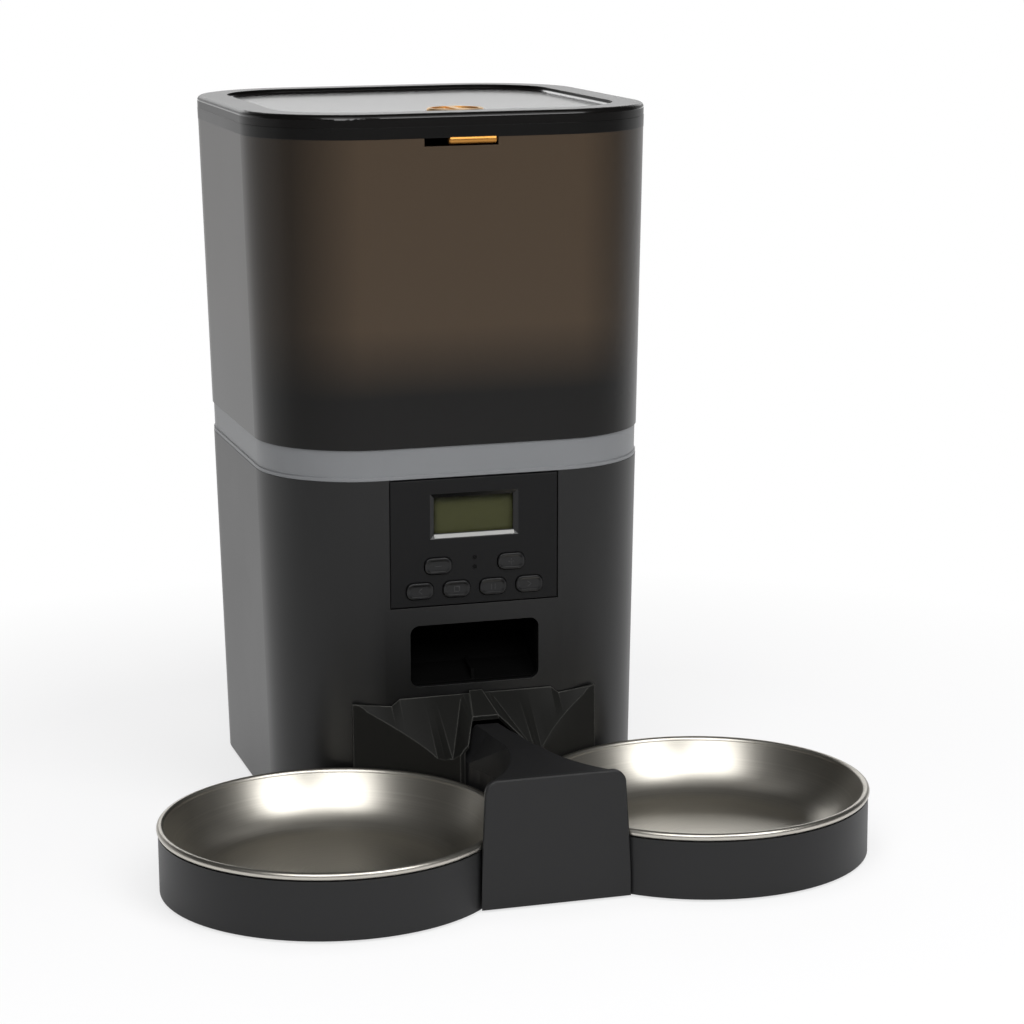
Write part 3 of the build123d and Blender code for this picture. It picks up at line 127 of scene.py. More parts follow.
class Graph:
    """Node graph of one material or of the world."""

    def __init__(self, tree: bpy.types.NodeTree) -> None:
        """Start from an empty tree.

        Args:
            tree: the tree that is filled.
        """
        self.tree = tree
        tree.nodes.clear()

    def node(self, kind: str, settings: dict[str, object] | None = None,
             inputs: dict[object, object] | None = None) -> bpy.types.Node:
        """Add any node.

        Args:
            kind: the node's type.
            settings: its properties, set first.
            inputs: values or links for its sockets, by name or place.

        Returns:
            The new node.
        """
        made = self.tree.nodes.new(kind)
        for name, value in (settings or {}).items():
            setattr(made, name, value)
        for name, value in (inputs or {}).items():
            self.feed(made, name, value)
        return made

    def feed(self, node: bpy.types.Node, name: object, value: object) -> None:
        """Link or set one input socket of a node.

        Args:
            node: the node that is fed.
            name: the socket's name or place.
            value: a link, or a value for the socket.
        """
        socket = node.inputs[name]
        if isinstance(value, Wire):
            self.tree.links.new(value.socket, socket)
        elif isinstance(value, bpy.types.NodeSocket):
            self.tree.links.new(value, socket)
        elif socket.type == "RGBA" and len(value) == 3:
            socket.default_value = (*value, 1.0)
        else:
            socket.default_value = value

    def out(self, kind: str, settings: dict[str, object] | None = None,
            inputs: dict[object, object] | None = None, output: object = 0) -> Wire:
        """Add a node and wrap one of its outputs."""
        return Wire(self, self.node(kind, settings, inputs).outputs[output])

    def place(self) -> bpy.types.NodeSocket:
        """Object coordinates, in metres."""
        return self.node("ShaderNodeTexCoord").outputs["Object"]

    def axis(self, index: int) -> Wire:
        """One object coordinate, in metres."""
        return self.out("ShaderNodeSeparateXYZ", None, {0: self.place()}, index)

    def noise(self, scale: float, detail: float = 2.0, stretch: Point = (1.0, 1.0, 1.0)) -> Wire:
        """Add noise in object space, stretched along the axes.

        Args:
            scale: grains per metre.
            detail: octaves.
            stretch: factor along each axis.

        Returns:
            The noise, about 0.5 on average.
        """
        mapped = self.node("ShaderNodeMapping", None, {"Vector": self.place(), "Scale": stretch})
        return self.out("ShaderNodeTexNoise", None,
                        {"Vector": mapped.outputs[0], "Scale": scale, "Detail": detail}, "Fac")

    def blend(self, share: Wire, low: Colour, high: Colour) -> Wire:
        """Colour between two, by a share from 0 to 1."""
        return self.out("ShaderNodeMix", {"data_type": "RGBA"}, {0: share, 6: low, 7: high}, 2)

    def bump(self, height: Wire, strength: float, distance: float, below: object = None) -> Wire:
        """Turn a height into a normal.

        Args:
            height: the height.
            strength: how much of it counts.
            distance: its full depth in metres.
            below: another normal that it lies on, if any.

        Returns:
            The normal.
        """
        inputs: dict[object, object] = {"Height": height, "Strength": strength, "Distance": distance}
        if below is not None:
            inputs["Normal"] = below
        return self.out("ShaderNodeBump", None, inputs)

    def turned_from(self, normal: Wire) -> Wire:
        """Tell how far a normal turns away from the face's own.

        Args:
            normal: the other normal.

        Returns:
            A share that is 0 where the two agree.
        """
        own = self.node("ShaderNodeNewGeometry").outputs["Normal"]
        inputs = {0: normal, 1: own}
        return 1 - self.out("ShaderNodeVectorMath", {"operation": "DOT_PRODUCT"}, inputs, "Value")

    def soft_edges(self, radius: float) -> Wire:
        """Normal that rounds sharp edges by a radius in metres."""
        return self.out("ShaderNodeBevel", {"samples": 4}, {"Radius": radius})


# ---------------------------------------------------------------- finishes
def times(colour: Colour, factor: float) -> Colour:
    """Colour made lighter or darker by a factor."""
    return tuple(channel * factor for channel in colour)


@dataclass(frozen=True)
class Finish:
    """One finish, made into a material when it is first asked for."""

    name: str
    slot: str

    def paint(self, graph: Graph) -> dict[object, object]:
        """Give the principled shader's inputs."""
        raise NotImplementedError

    def material(self) -> bpy.types.Material:
        """Find or make the material.

        Returns:
            The material, with its principled shader linked to the output.
        """
        found = bpy.data.materials.get(self.name)
        if found is not None:
            return found
        made = bpy.data.materials.new(self.name)
        made.use_nodes = True
        graph = Graph(made.node_tree)
        shader = graph.node("ShaderNodeBsdfPrincipled", None, self.paint(graph))
        graph.node("ShaderNodeOutputMaterial", None, {"Surface": shader.outputs[0]})
        return made


@dataclass(frozen=True)
class Moulded(Finish):
    """Moulded plastic with a fine texture, faint flow marks and a soft sheen."""

    colour: Colour = (0.02, 0.02, 0.02)
    rough: float = 0.4
    grain: float = 1.0
    coat: float = 0.0
    coat_rough: float = 0.2
    edge: float = 0.0003
    specular: float = 0.5
    painted_edge_highlight: float = 1.0

    def paint(self, graph: Graph) -> dict[object, object]:
        """Give colour, roughness and grain, and a painted highlight along sharp edges where asked.

        Args:
            graph: the material's graph.

        Returns:
            The principled shader's inputs.
        """
        cloud = graph.noise(14.0, 3.0)
        fine = graph.noise(2600.0, 2.0)
        soft = graph.soft_edges(self.edge)
        normal = graph.bump(fine, 0.18 * self.grain, 0.00004, soft)
        ground = graph.blend(cloud, times(self.colour, 0.86), times(self.colour, 1.14))
        # Painted highlight: base colour made lighter where the rounded-edge normal turns away from the face's
        # own, in place of light caught by the edge fillets.
        if self.painted_edge_highlight > 1.0:
            rim = (graph.turned_from(soft) * 5.0).clamp()
            ground = graph.blend(rim, ground, times(self.colour, self.painted_edge_highlight))
        return {
            "Base Color": ground,
            "Roughness": self.rough + (cloud - 0.5) * 0.07 + (fine - 0.5) * 0.05,
            "Normal": normal,
            "Coat Weight": self.coat,
            "Coat Roughness": self.coat_rough,
            "Specular IOR Level": self.specular,
        }


@dataclass(frozen=True)
class SmokedTank(Finish):
    """Smoked frosted plastic with painted transmitted light: brown where light comes through from behind,
    painted shade where the funnel and its throat lie behind it.
    """

    upper: Colour = (0.056, 0.038, 0.023)
    lower: Colour = (0.0036, 0.0032, 0.0028)
    dark_below: float = 0.205
    fade: float = 0.030
    side_dark_from: float = 0.062
    side_dark_fade: float = 0.026
    side_dark_share: float = 0.7

    def paint(self, graph: Graph) -> dict[object, object]:
        """Give the painted tint by height and towards the sides, with a smooth, slightly cloudy surface.

        Args:
            graph: the material's graph.

        Returns:
            The principled shader's inputs.
        """
        cloud = graph.noise(9.0, 2.0)
        # Base colour paints transmitted light: brown above dark_below, painted shade below it where the
        # funnel lies behind, and darker towards the left and right sides.
        height = graph.axis(2) + (cloud - 0.5) * 0.008
        clear = height.above(self.dark_below, self.fade)
        across = graph.axis(0)
        side_dark = ((across * across) ** 0.5).above(self.side_dark_from, self.side_dark_fade)
        return {
            "Base Color": graph.blend(clear * (1 - side_dark * self.side_dark_share), self.lower, self.upper),
            "Roughness": 0.3 + (cloud - 0.5) * 0.05,
            "Normal": graph.bump(graph.noise(700.0, 2.0), 0.05, 0.0001, graph.soft_edges(0.0004)),
            "Coat Weight": 0.05,
            "Coat Roughness": 0.16,
            "Specular IOR Level": 0.22,
        }


@dataclass(frozen=True)
class SmokedLid(Finish):
    """Near-black lid, polished on its sunk plate and along the rim's shoulder only."""

    colour: Colour = (0.0040, 0.0036, 0.0034)
    polish_low: float = 0.3078
    polish_high: float = 0.3085

    def paint(self, graph: Graph) -> dict[object, object]:
        """Give the gloss by height.

        Args:
            graph: the material's graph.

        Returns:
            The principled shader's inputs.
        """
        cloud = graph.noise(12.0, 3.0)
        height = graph.axis(2)
        polish = height.above(self.polish_low, 0.0003) * (1 - height.above(self.polish_high, 0.0005))
        return {
            "Base Color": graph.blend(cloud, times(self.colour, 0.9), times(self.colour, 1.1)),
            "Roughness": 0.30 - polish * 0.12 + (cloud - 0.5) * 0.04,
            "Normal": graph.bump(graph.noise(1800.0, 2.0), 0.04, 0.00003, graph.soft_edges(0.0004)),
            "Coat Weight": polish,
            "Coat Roughness": 0.10,
            "Specular IOR Level": 0.15,
        }


@dataclass(frozen=True)
class Steel(Finish):
    """Spun steel: fine circular brushing round a bowl's own axis."""

    centre: tuple[float, float] = (0.0, 0.0)
    tint: Colour = (0.56, 0.535, 0.48)
    rough: float = 0.34

    def paint(self, graph: Graph) -> dict[object, object]:
        """Give rings of slightly varying height and roughness.

        Args:
            graph: the material's graph.

        Returns:
            The principled shader's inputs.
        """
        across = graph.axis(0) - self.centre[0]
        along = graph.axis(1) - self.centre[1]
        radius = (across * across + along * along) ** 0.5
        rings = graph.out("ShaderNodeTexNoise", {"noise_dimensions": "1D"},
                          {"W": radius * 900.0 + graph.axis(2) * 700.0, "Scale": 1.0, "Detail": 3.0}, "Fac")
        cloud = graph.noise(30.0, 2.0)
        return {
            "Base Color": graph.blend(rings, times(self.tint, 0.9), times(self.tint, 1.08)),
            "Metallic": 1.0,
            "Roughness": self.rough + (rings - 0.5) * 0.08 + (cloud - 0.5) * 0.04,
            "Normal": graph.bump(rings, 0.05, 0.00004),
        }


@dataclass(frozen=True)
class Metal(Finish):
    """Small metal piece with a faint brushed grain."""

    tint: Colour = (0.6, 0.6, 0.6)
    rough: float = 0.3

    def paint(self, graph: Graph) -> dict[object, object]:
        """Give a lightly streaked metal.

        Args:
            graph: the material's graph.

        Returns:
            The principled shader's inputs.
        """
        streak = graph.noise(900.0, 2.0, (0.1, 1.0, 1.0))
        return {
            "Base Color": graph.blend(streak, times(self.tint, 0.88), self.tint),
            "Metallic": 1.0,
            "Roughness": self.rough + (streak - 0.5) * 0.12,
            "Normal": graph.bump(streak, 0.05, 0.00005, graph.soft_edges(0.0002)),
        }


@dataclass(frozen=True)
class Display(Finish):
    """Reflective olive display, darker under the window's upper and left edges."""

    colour: Colour = (0.058, 0.060, 0.026)
    shade: Colour = (0.010, 0.011, 0.005)
    left: float = -0.0178
    top: float = 0.145
    shadow_start: float = 0.0012

    def paint(self, graph: Graph) -> dict[object, object]:
        """Give the olive ground with its edge shading and fine rows.

        Args:
            graph: the material's graph.

        Returns:
            The principled shader's inputs.
        """
        across = graph.axis(0).above(self.left + self.shadow_start, 0.0034)
        down = 1 - graph.axis(2).above(self.top - self.shadow_start, 0.0038)
        rows = graph.noise(4200.0, 0.0, (0.2, 1.0, 1.0))
        lit = (across * down).clamp() * (0.96 + rows * 0.06)
        return {
            "Base Color": graph.blend(lit, self.shade, self.colour),
            "Roughness": 0.34 + (rows - 0.5) * 0.05,
            "Specular IOR Level": 0.06,
        }


@dataclass(frozen=True)
class Clear(Finish):
    """Clear window that lets the display show through."""

    def paint(self, graph: Graph) -> dict[object, object]:
        """Give a faintly hazed clear plastic.

        Args:
            graph: the material's graph.

        Returns:
            The principled shader's inputs.
        """
        haze = graph.noise(60.0, 2.0)
        return {
            "Base Color": graph.blend(haze, (0.008, 0.009, 0.006), (0.012, 0.013, 0.009)),
            "Roughness": 0.04 + haze * 0.03,
            "Alpha": 0.02 + haze * 0.01,
        }


@dataclass(frozen=True)
class Weave(Finish):
    """Woven paper of the desiccant pack."""

    def paint(self, graph: Graph) -> dict[object, object]:
        """Give crossing threads.

        Args:
            graph: the material's graph.

        Returns:
            The principled shader's inputs.
        """
        across = graph.noise(1500.0, 1.0, (1.0, 0.08, 1.0))
        along = graph.noise(1500.0, 1.0, (0.08, 1.0, 1.0))
        return {
            "Base Color": graph.blend(across * along * 2.0, (0.6, 0.6, 0.57), (0.85, 0.85, 0.82)),
            "Roughness": 0.9,
            "Normal": graph.bump(across * along, 0.4, 0.0001),
        }


SHELL = Moulded("shell_black_satin", "shell", (0.0036, 0.0036, 0.0036), 0.38, 1.0, specular=0.42)
HOLDER = Moulded("holder_black_satin", "shell", (0.0105, 0.0105, 0.0110), 0.44, 1.0, specular=0.36)
# The splitter and the front plate carry painted highlights along their edges.
SPLIT = Moulded("splitter_black_satin", "shell", (0.0110, 0.0110, 0.0102), 0.42, 0.8, edge=0.0008,
                specular=0.07, painted_edge_highlight=9.0)
PLATE = Moulded("plate_black_satin", "shell", (0.0120, 0.0120, 0.0124), 0.46, 0.8, edge=0.0005, specular=0.34,
                painted_edge_highlight=2.5)
PANEL = Moulded("panel_black_satin", "panel_black", (0.0060, 0.0060, 0.0063), 0.40, 0.9, specular=0.18)
KEY = Moulded("key_black_satin", "key_black", (0.0062, 0.0062, 0.0065), 0.32, 0.6, edge=0.0002,
              specular=0.34)
INNER = Moulded("inner_black_matt", "inner_black", (0.0050, 0.0050, 0.0052), 0.55, 1.2, specular=0.2)
CHUTE = Moulded("chute_black", "inner_black", (0.0016, 0.0016, 0.0016), 0.6, 0.8, specular=0.04)
RING = Moulded("ring_grey_matt", "ring_grey", (0.190, 0.196, 0.204), 0.40, 0.8, edge=0.0005, specular=0.55)
LID = SmokedLid("lid_smoked_gloss", "smoked_lid")
BAND = Moulded("lid_band_gloss", "smoked_lid", (0.0030, 0.0028, 0.0026), 0.30, 0.3, specular=0.18)
TANK = SmokedTank("tank_smoked_frosted", "smoked_tank")
# One satin gold in two copies: the bolt's darker tint is painted shade, the knob's paler tint is painted
# reflection on its top.
GOLD = Metal("satin_gold_painted_shade", "latch_gold", (0.50, 0.235, 0.055), 0.36)
KNOB = Metal("satin_gold_painted_reflection", "latch_gold", (0.92, 0.58, 0.24), 0.42)
NICKEL = Metal("nickel_plate", "steel_small", (0.6, 0.6, 0.58), 0.25)
CAN = Metal("zinc_plate", "motor_can", (0.5, 0.51, 0.5), 0.35)
RUBBER = Moulded("rubber_black_matt", "rubber_black", (0.018, 0.018, 0.018), 0.75, 2.0)
SILICONE = Moulded("silicone_grey", "silicone", (0.42, 0.42, 0.40), 0.5, 0.8)
BOARD = Moulded("board_green_mask", "board_green", (0.012, 0.075, 0.03), 0.35, 0.5, 0.3)
NYLON = Moulded("gear_nylon", "gear_white", (0.62, 0.61, 0.56), 0.4, 0.7)
ROTOR = Moulded("rotor_grey", "rotor_green", (0.05, 0.052, 0.054), 0.45, 1.0)
LIGHT = Moulded("light_dark_lens", "light_dark", (0.0018, 0.0018, 0.0018), 0.3, 0.1, specular=0.1)
BEVEL = Moulded("bezel_gloss", "panel_black", (0.0040, 0.0040, 0.0041), 0.22, 0.1, coat_rough=0.1,
                edge=0.0001, specular=0.35)
# Light grey strip that paints the highlight reflected in the window's lower bevel.
GLINT = Moulded("bezel_painted_glint", "panel_black", (0.30, 0.30, 0.29), 0.35, 0.2)
MARK = Moulded("mark_grey", "key_black", (0.030, 0.030, 0.031), 0.5, 0.3)
SHADE = Moulded("mark_black", "smoked_lid", (0.0022, 0.0022, 0.0022), 0.5, 0.3, specular=0.1)
DISPLAY = Display("display_olive_glass", "display_olive")
WINDOW = Clear("window_clear", "clear_window")
PACK = Weave("pack_weave", "pack_white")


# ---------------------------------------------------------------- mesh helpers
def dress(obj: bpy.types.Object, finish: Finish, angle: float = 28.0) -> bpy.types.Object:
    """Give an object its finish and smooth shading up to an angle.

    Args:
        obj: a frame node or a new piece.
        finish: its finish.
        angle: edges sharper than this stay sharp, in degrees.

    Returns:
        The same object.
    """
    mesh = obj.data
    mesh.materials.clear()
    mesh.materials.append(finish.material())
    for face in mesh.polygons:
        face.material_index = 0
    mesh.shade_smooth()
    mesh.set_sharp_from_angle(angle=math.radians(angle))
    return obj


def piece(name: str, build: Callable[[bmesh.types.BMesh], None], finish: Finish, body: str,
          angle: float = 28.0) -> bpy.types.Object:
    """Build a new piece in mesh code, dress it and let it ride on a body.

    Args:
        name: the piece's name.
        build: fills an empty bmesh.
        finish: the piece's finish.
        body: the body that it moves with.
        angle: edges sharper than this stay sharp, in degrees.

    Returns:
        The new object.
    """
    mesh = bpy.data.meshes.new(name)
    work = bmesh.new()
    build(work)
    bmesh.ops.recalc_face_normals(work, faces=work.faces)
    work.to_mesh(mesh)
    work.free()
    obj = bpy.data.objects.new(name, mesh)
    bpy.context.scene.collection.objects.link(obj)
    dress(obj, finish, angle)
    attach(obj, body)
    log.info("piece %s on %s", name, body)
    return obj


def rings_to_skin(work: bmesh.types.BMesh, rings: Sequence[Sequence[Point]], closed: bool = False) -> None:
    """Join rings of equal length with quads.

    Args:
        work: the mesh that is filled.
        rings: rings of points, each going round.
        closed: whether the last ring joins the first.
    """
    made = [[work.verts.new(p) for p in ring] for ring in rings]
    pairs = list(zip(made, made[1:]))
    if closed:
        pairs.append((made[-1], made[0]))
    for one, two in pairs:
        count = len(one)
        for index in range(count):
            after = (index + 1) % count
            work.faces.new((one[index], one[after], two[after], two[index]))


# ---------------------------------------------------------------- sub-assemblies
@dataclass
class Bowl:
    """A spun steel bowl with a rolled rim, finely turned."""

    node: str
    body: str
    wall: float = 0.0009
    flat_radius: float = 0.046
    bend_radius: float = 0.0590
    step_radius: float = 0.043
    step: float = 0.001
    bead: float = 0.0016
    hub: float = 0.0004
    middle: float = 0.012
    floor_spans: int = 8
    wall_spans: int = 18
    bead_spans: int = 11
    around: int = 160

    def centre(self) -> tuple[float, float]:
        """XY of the bowl's axis."""
        low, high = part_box(self.node)
        return (low.x + high.x) / 2, (low.y + high.y) / 2

    def profile(self) -> list[tuple[float, float]]:
        """Draw the closed section from the floor's middle over the rim and back underneath.

        Returns:
            Radius and height of each point.
        """
        low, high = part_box(self.node)
        bottom = low.z
        bead_r = (high.x - low.x) / 2 - self.bead
        bead_z = high.z - self.bead
        inner: list[tuple[float, float]] = [(self.hub, bottom + self.wall)]
        for index in range(1, self.floor_spans + 1):
            share = index / self.floor_spans
            smooth = share * share * (3 - 2 * share)
            radius = self.middle + (self.flat_radius - self.middle) * share
            inner.append((radius, bottom + self.wall + self.step * smooth))
        floor_z = bottom + self.wall + self.step
        top_r = bead_r - self.bead * 0.9
        for index in range(1, self.wall_spans + 1):
            share = index / self.wall_spans
            rest = 1 - share
            one_r = rest * self.flat_radius + share * self.bend_radius
            two_r = rest * self.bend_radius + share * top_r
            two_z = rest * floor_z + share * bead_z
            inner.append((rest * one_r + share * two_r, rest * floor_z + share * two_z))
        bead = []
        for index in range(1, self.bead_spans + 1):
            angle = math.radians(200 - index * 270 / self.bead_spans)
            bead.append((bead_r + self.bead * math.cos(angle), bead_z + self.bead * math.sin(angle)))
        under = reversed(inner[self.floor_spans + 1:-2])
        outer = [(r + self.wall * 0.9, z - self.wall * 0.5) for r, z in under]
        outer = [(min(r, bead_r), max(z, bottom)) for r, z in outer]
        outer += [(self.step_radius, bottom + self.step * 0.6), (self.step_radius - 0.002, bottom),
                  (self.hub, bottom)]
        return inner + bead + outer

    def build(self) -> None:
        """Turn the profile and replace the plain node."""
        x, y = self.centre()
        section = self.profile()

        def fill(work: bmesh.types.BMesh) -> None:
            """Turn the section round the axis and close its middle.

            Args:
                work: the mesh that is filled.
            """
            rings = []
            for radius, height in section:
                ring = []
                for index in range(self.around):
                    turn = 2 * math.pi * index / self.around
                    ring.append((x + radius * math.cos(turn), y + radius * math.sin(turn), height))
                rings.append(ring)
            rings_to_skin(work, rings)
            for ring_index in (0, -1):
                level = section[ring_index][1]
                near = [v for v in work.verts
                        if abs(v.co.z - level) < 1e-6 and (v.co.xy - Vector((x, y))).length < 0.001]
                work.faces.new(sorted(near, key=lambda v: math.atan2(v.co.y - y, v.co.x - x)))

        finish = Steel(self.node + "_spun_steel", "bowl_steel", (x, y))
        made = piece(self.node + "_spun", fill, finish, self.body, 50.0)
        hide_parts(self.node)
        log.info("bowl %s", self.node)


def rounded(half_w: float, half_h: float, radius: float, steps: int = 8) -> list[tuple[float, float]]:
    """Outline of a rectangle with round corners.

    Args:
        half_w: half its width.
        half_h: half its height.
        radius: its corners' radius.
        steps: spans in each corner.

    Returns:
        Points that go round once.
    """
    points = []
    for turn, (sign_u, sign_v) in enumerate(((1, 1), (-1, 1), (-1, -1), (1, -1))):
        for step in range(steps + 1):
            angle = math.radians(90) * (turn + step / steps)
            points.append((sign_u * (half_w - radius) + radius * math.cos(angle),
                           sign_v * (half_h - radius) + radius * math.sin(angle)))
    return points


def cap_ring(work: bmesh.types.BMesh, ring: Sequence[Point]) -> None:
    """Close a ring of points with one face of its own."""
    work.faces.new([work.verts.new(p) for p in ring])


@dataclass(frozen=True)
class PanelPlane:
    """Leaning plane of the front wall, with its middle on the panel's face."""

    lean: float = math.radians(1.31)
    thickness: float = 0.0024

    def middle(self) -> tuple[float, float]:
        """Find the middle of the panel's face.

        Returns:
            Its Y and Z.
        """
        low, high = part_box("control_panel")
        top = high.z - self.thickness * math.sin(self.lean)
        half = (top - low.z) / 2
        return low.y + half * math.tan(self.lean), top - half

    def point(self, across: float, up: float, out: float) -> Point:
        """Place a point on or near the face.

        Args:
            across: distance along the width.
            up: distance up the slope.
            out: distance out of the face.

        Returns:
            The point.
        """
        y, z = self.middle()
        tilt, level = math.sin(self.lean), math.cos(self.lean)
        return across, y - up * tilt - out * level, z + up * level - out * tilt

    def height_of(self, z: float, out: float) -> float:
        """Find how far up the face a height lies, at a distance out of it."""
        return (z - self.middle()[1] + out * math.sin(self.lean)) / math.cos(self.lean)


class Glyph(Enum):
    """Generic marks on the keys, as strokes in millimetres."""

    BAR = (((-1.5, 0.0), (1.5, 0.0)),)
    CROSS = (((-1.3, 0.0), (1.3, 0.0)), ((0.0, -1.3), (0.0, 1.3)))
    LEFT = (((0.8, 1.2), (-0.7, 0.0)), ((-0.7, 0.0), (0.8, -1.2)))
    RIGHT = (((-0.8, 1.2), (0.7, 0.0)), ((0.7, 0.0), (-0.8, -1.2)))
    PAIR = (((-0.8, -1.2), (-0.8, 1.2)), ((0.8, -1.2), (0.8, 1.2)))
    SQUARE = (((-1.1, -1.1), (1.1, -1.1)), ((1.1, -1.1), (1.1, 1.1)),
              ((1.1, 1.1), (-1.1, 1.1)), ((-1.1, 1.1), (-1.1, -1.1)))


@dataclass
class Keypad:
    """Six key caps with a round shoulder, a dished top and a faint generic mark."""

    plane: PanelPlane = field(default_factory=PanelPlane)
    half_width: float = 0.0060
    half_height: float = 0.0036
    corner: float = 0.0030
    stand: float = 0.0011
    back: float = -0.00265
    flange: float = 0.0009
    flange_back: float = -0.00345
    shoulder: float = 0.00055
    rim: float = 0.00040
    dish: float = 0.00028
    stroke: float = 0.00034
    marks: dict[str, Glyph] = field(default_factory=lambda: {
        "button_upper_left": Glyph.BAR, "button_upper_right": Glyph.CROSS,
        "button_lower_far_left": Glyph.LEFT, "button_lower_left": Glyph.SQUARE,
        "button_lower_right": Glyph.PAIR, "button_lower_far_right": Glyph.RIGHT,
    })

    def levels(self) -> list[tuple[float, float]]:
        """List a cap's rings from its back to its dish.

        Returns:
            How far each lies inside the outline, and its place out of the face.
        """
        levels = [(-self.flange, self.flange_back), (-self.flange, self.back), (0.0, self.back + 0.00001),
                  (0.0, self.stand - self.shoulder)]
        for step in range(1, 7):
            angle = math.radians(90) * step / 6
            levels.append((self.shoulder * (1 - math.cos(angle)),
                           self.stand - self.shoulder * (1 - math.sin(angle))))
        levels.append((self.shoulder + self.rim, self.stand))
        levels.append((self.shoulder + self.rim + 0.0003, self.stand - self.dish * 0.8))
        levels.append((self.shoulder + self.rim + 0.0008, self.stand - self.dish))
        return levels

    def cap(self, node: str, across: float, up: float) -> None:
        """Build one cap in the place of its plain node.

        Args:
            node: the key's node.
            across: its middle along the panel's width.
            up: its middle up the panel's slope.
        """
        levels = self.levels()

        def fill(work: bmesh.types.BMesh) -> None:
            """Skin the cap's rings and close both ends.

            Args:
                work: the mesh that is filled.
            """
            rings = []
            for inside, out in levels:
                radius = max(0.0004, self.corner - inside)
                flat = rounded(self.half_width - inside, self.half_height - inside, radius)
                rings.append([self.plane.point(across + u, up + v, out) for u, v in flat])
            rings_to_skin(work, rings)
            work.verts.ensure_lookup_table()
            count = len(rings[0])
            work.faces.new([work.verts[i] for i in range(count)])
            work.faces.new([work.verts[len(work.verts) - count + i] for i in range(count)])

        made = piece(node + "_cap", fill, KEY, node + "_key", 40.0)
        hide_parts(node)

    def mark(self, node: str, across: float, up: float) -> None:
        """Lay the strokes of a key's mark in its dish.

        Args:
            node: the key's node.
            across: its middle along the panel's width.
            up: its middle up the panel's slope.
        """
        level = self.stand - self.dish

        def fill(work: bmesh.types.BMesh) -> None:
            """Raise each stroke as a thin bar.

            Args:
                work: the mesh that is filled.
            """
            for (u0, v0), (u1, v1) in self.marks[node].value:
                start = Vector((u0, v0)) * 0.001
                end = Vector((u1, v1)) * 0.001
                side = (end - start).normalized().orthogonal() * self.stroke / 2
                start -= (end - start).normalized() * self.stroke / 2
                corners = (start + side, end + side, end - side, start - side)
                rings = [[self.plane.point(across + c.x, up + c.y, level + lift) for c in corners]
                         for lift in (-0.00005, 0.00004)]
                rings_to_skin(work, rings)
                cap_ring(work, rings[1])

        piece(node + "_mark", fill, MARK, node + "_key")

    def build(self) -> None:
        """Build every cap and its mark."""
        out = (self.flange_back + self.stand) / 2
        for node in self.marks:
            low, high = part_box(node)
            across = (low.x + high.x) / 2
            up = self.plane.height_of((low.z + high.z) / 2, out)
            self.cap(node, across, up)
            self.mark(node, across, up)
        log.info("%d key caps", len(self.marks))


@dataclass
class Bezel:
    """Glossy bevel round the display's window, with a painted highlight strip along its lower edge."""

    plane: PanelPlane = field(default_factory=PanelPlane)
    half_width: float = 0.0178
    half_height: float = 0.0080
    rise: float = 0.0116
    bevel: float = 0.0020
    depth: float = 0.0015
    skin: float = 0.00012

    def frame(self, work: bmesh.types.BMesh) -> None:
        """Fill the four bevels.

        Args:
            work: the mesh that is filled.
        """
        wide, tall = self.half_width + self.bevel, self.half_height + self.bevel
        sections = ((wide, tall, 0.00002), (self.half_width, self.half_height, self.skin - self.depth),
                    (self.half_width, self.half_height, -self.depth - 0.0003), (wide, tall, -0.0006))
        rings = []
        for half_u, half_v, out in sections:
            corners = ((-half_u, -half_v), (half_u, -half_v), (half_u, half_v), (-half_u, half_v))
            rings.append([self.plane.point(u, self.rise + v, out) for u, v in corners])
        rings_to_skin(work, rings, True)

    def glint(self, work: bmesh.types.BMesh) -> None:
        """Fill the light grey strip on the lower bevel, a painted highlight in place of the bevel's
        reflection.

        Args:
            work: the mesh that is filled.
        """
        outer_v = self.rise - self.half_height - self.bevel * 0.86
        inner_v = self.rise - self.half_height - self.bevel * 0.10
        outer_n = -self.depth * 0.14 + self.skin
        inner_n = -self.depth * 0.90 + self.skin * 1.6
        left, right = -self.half_width, self.half_width + self.bevel * 0.1
        rings = []
        for lift in (0.00005, -0.0002):
            corners = ((left, outer_v, outer_n), (right, outer_v, outer_n),
                       (right, inner_v, inner_n), (left, inner_v, inner_n))
            rings.append([self.plane.point(u, v, out + lift) for u, v, out in corners])
        rings_to_skin(work, rings)
        cap_ring(work, rings[0])

    def build(self) -> None:
        """Build the bevels and the painted highlight strip."""
        piece("display_bezel", self.frame, BEVEL, "base", 20.0)
        piece("display_glint", self.glint, GLINT, "base", 20.0)
        log.info("display bezel")


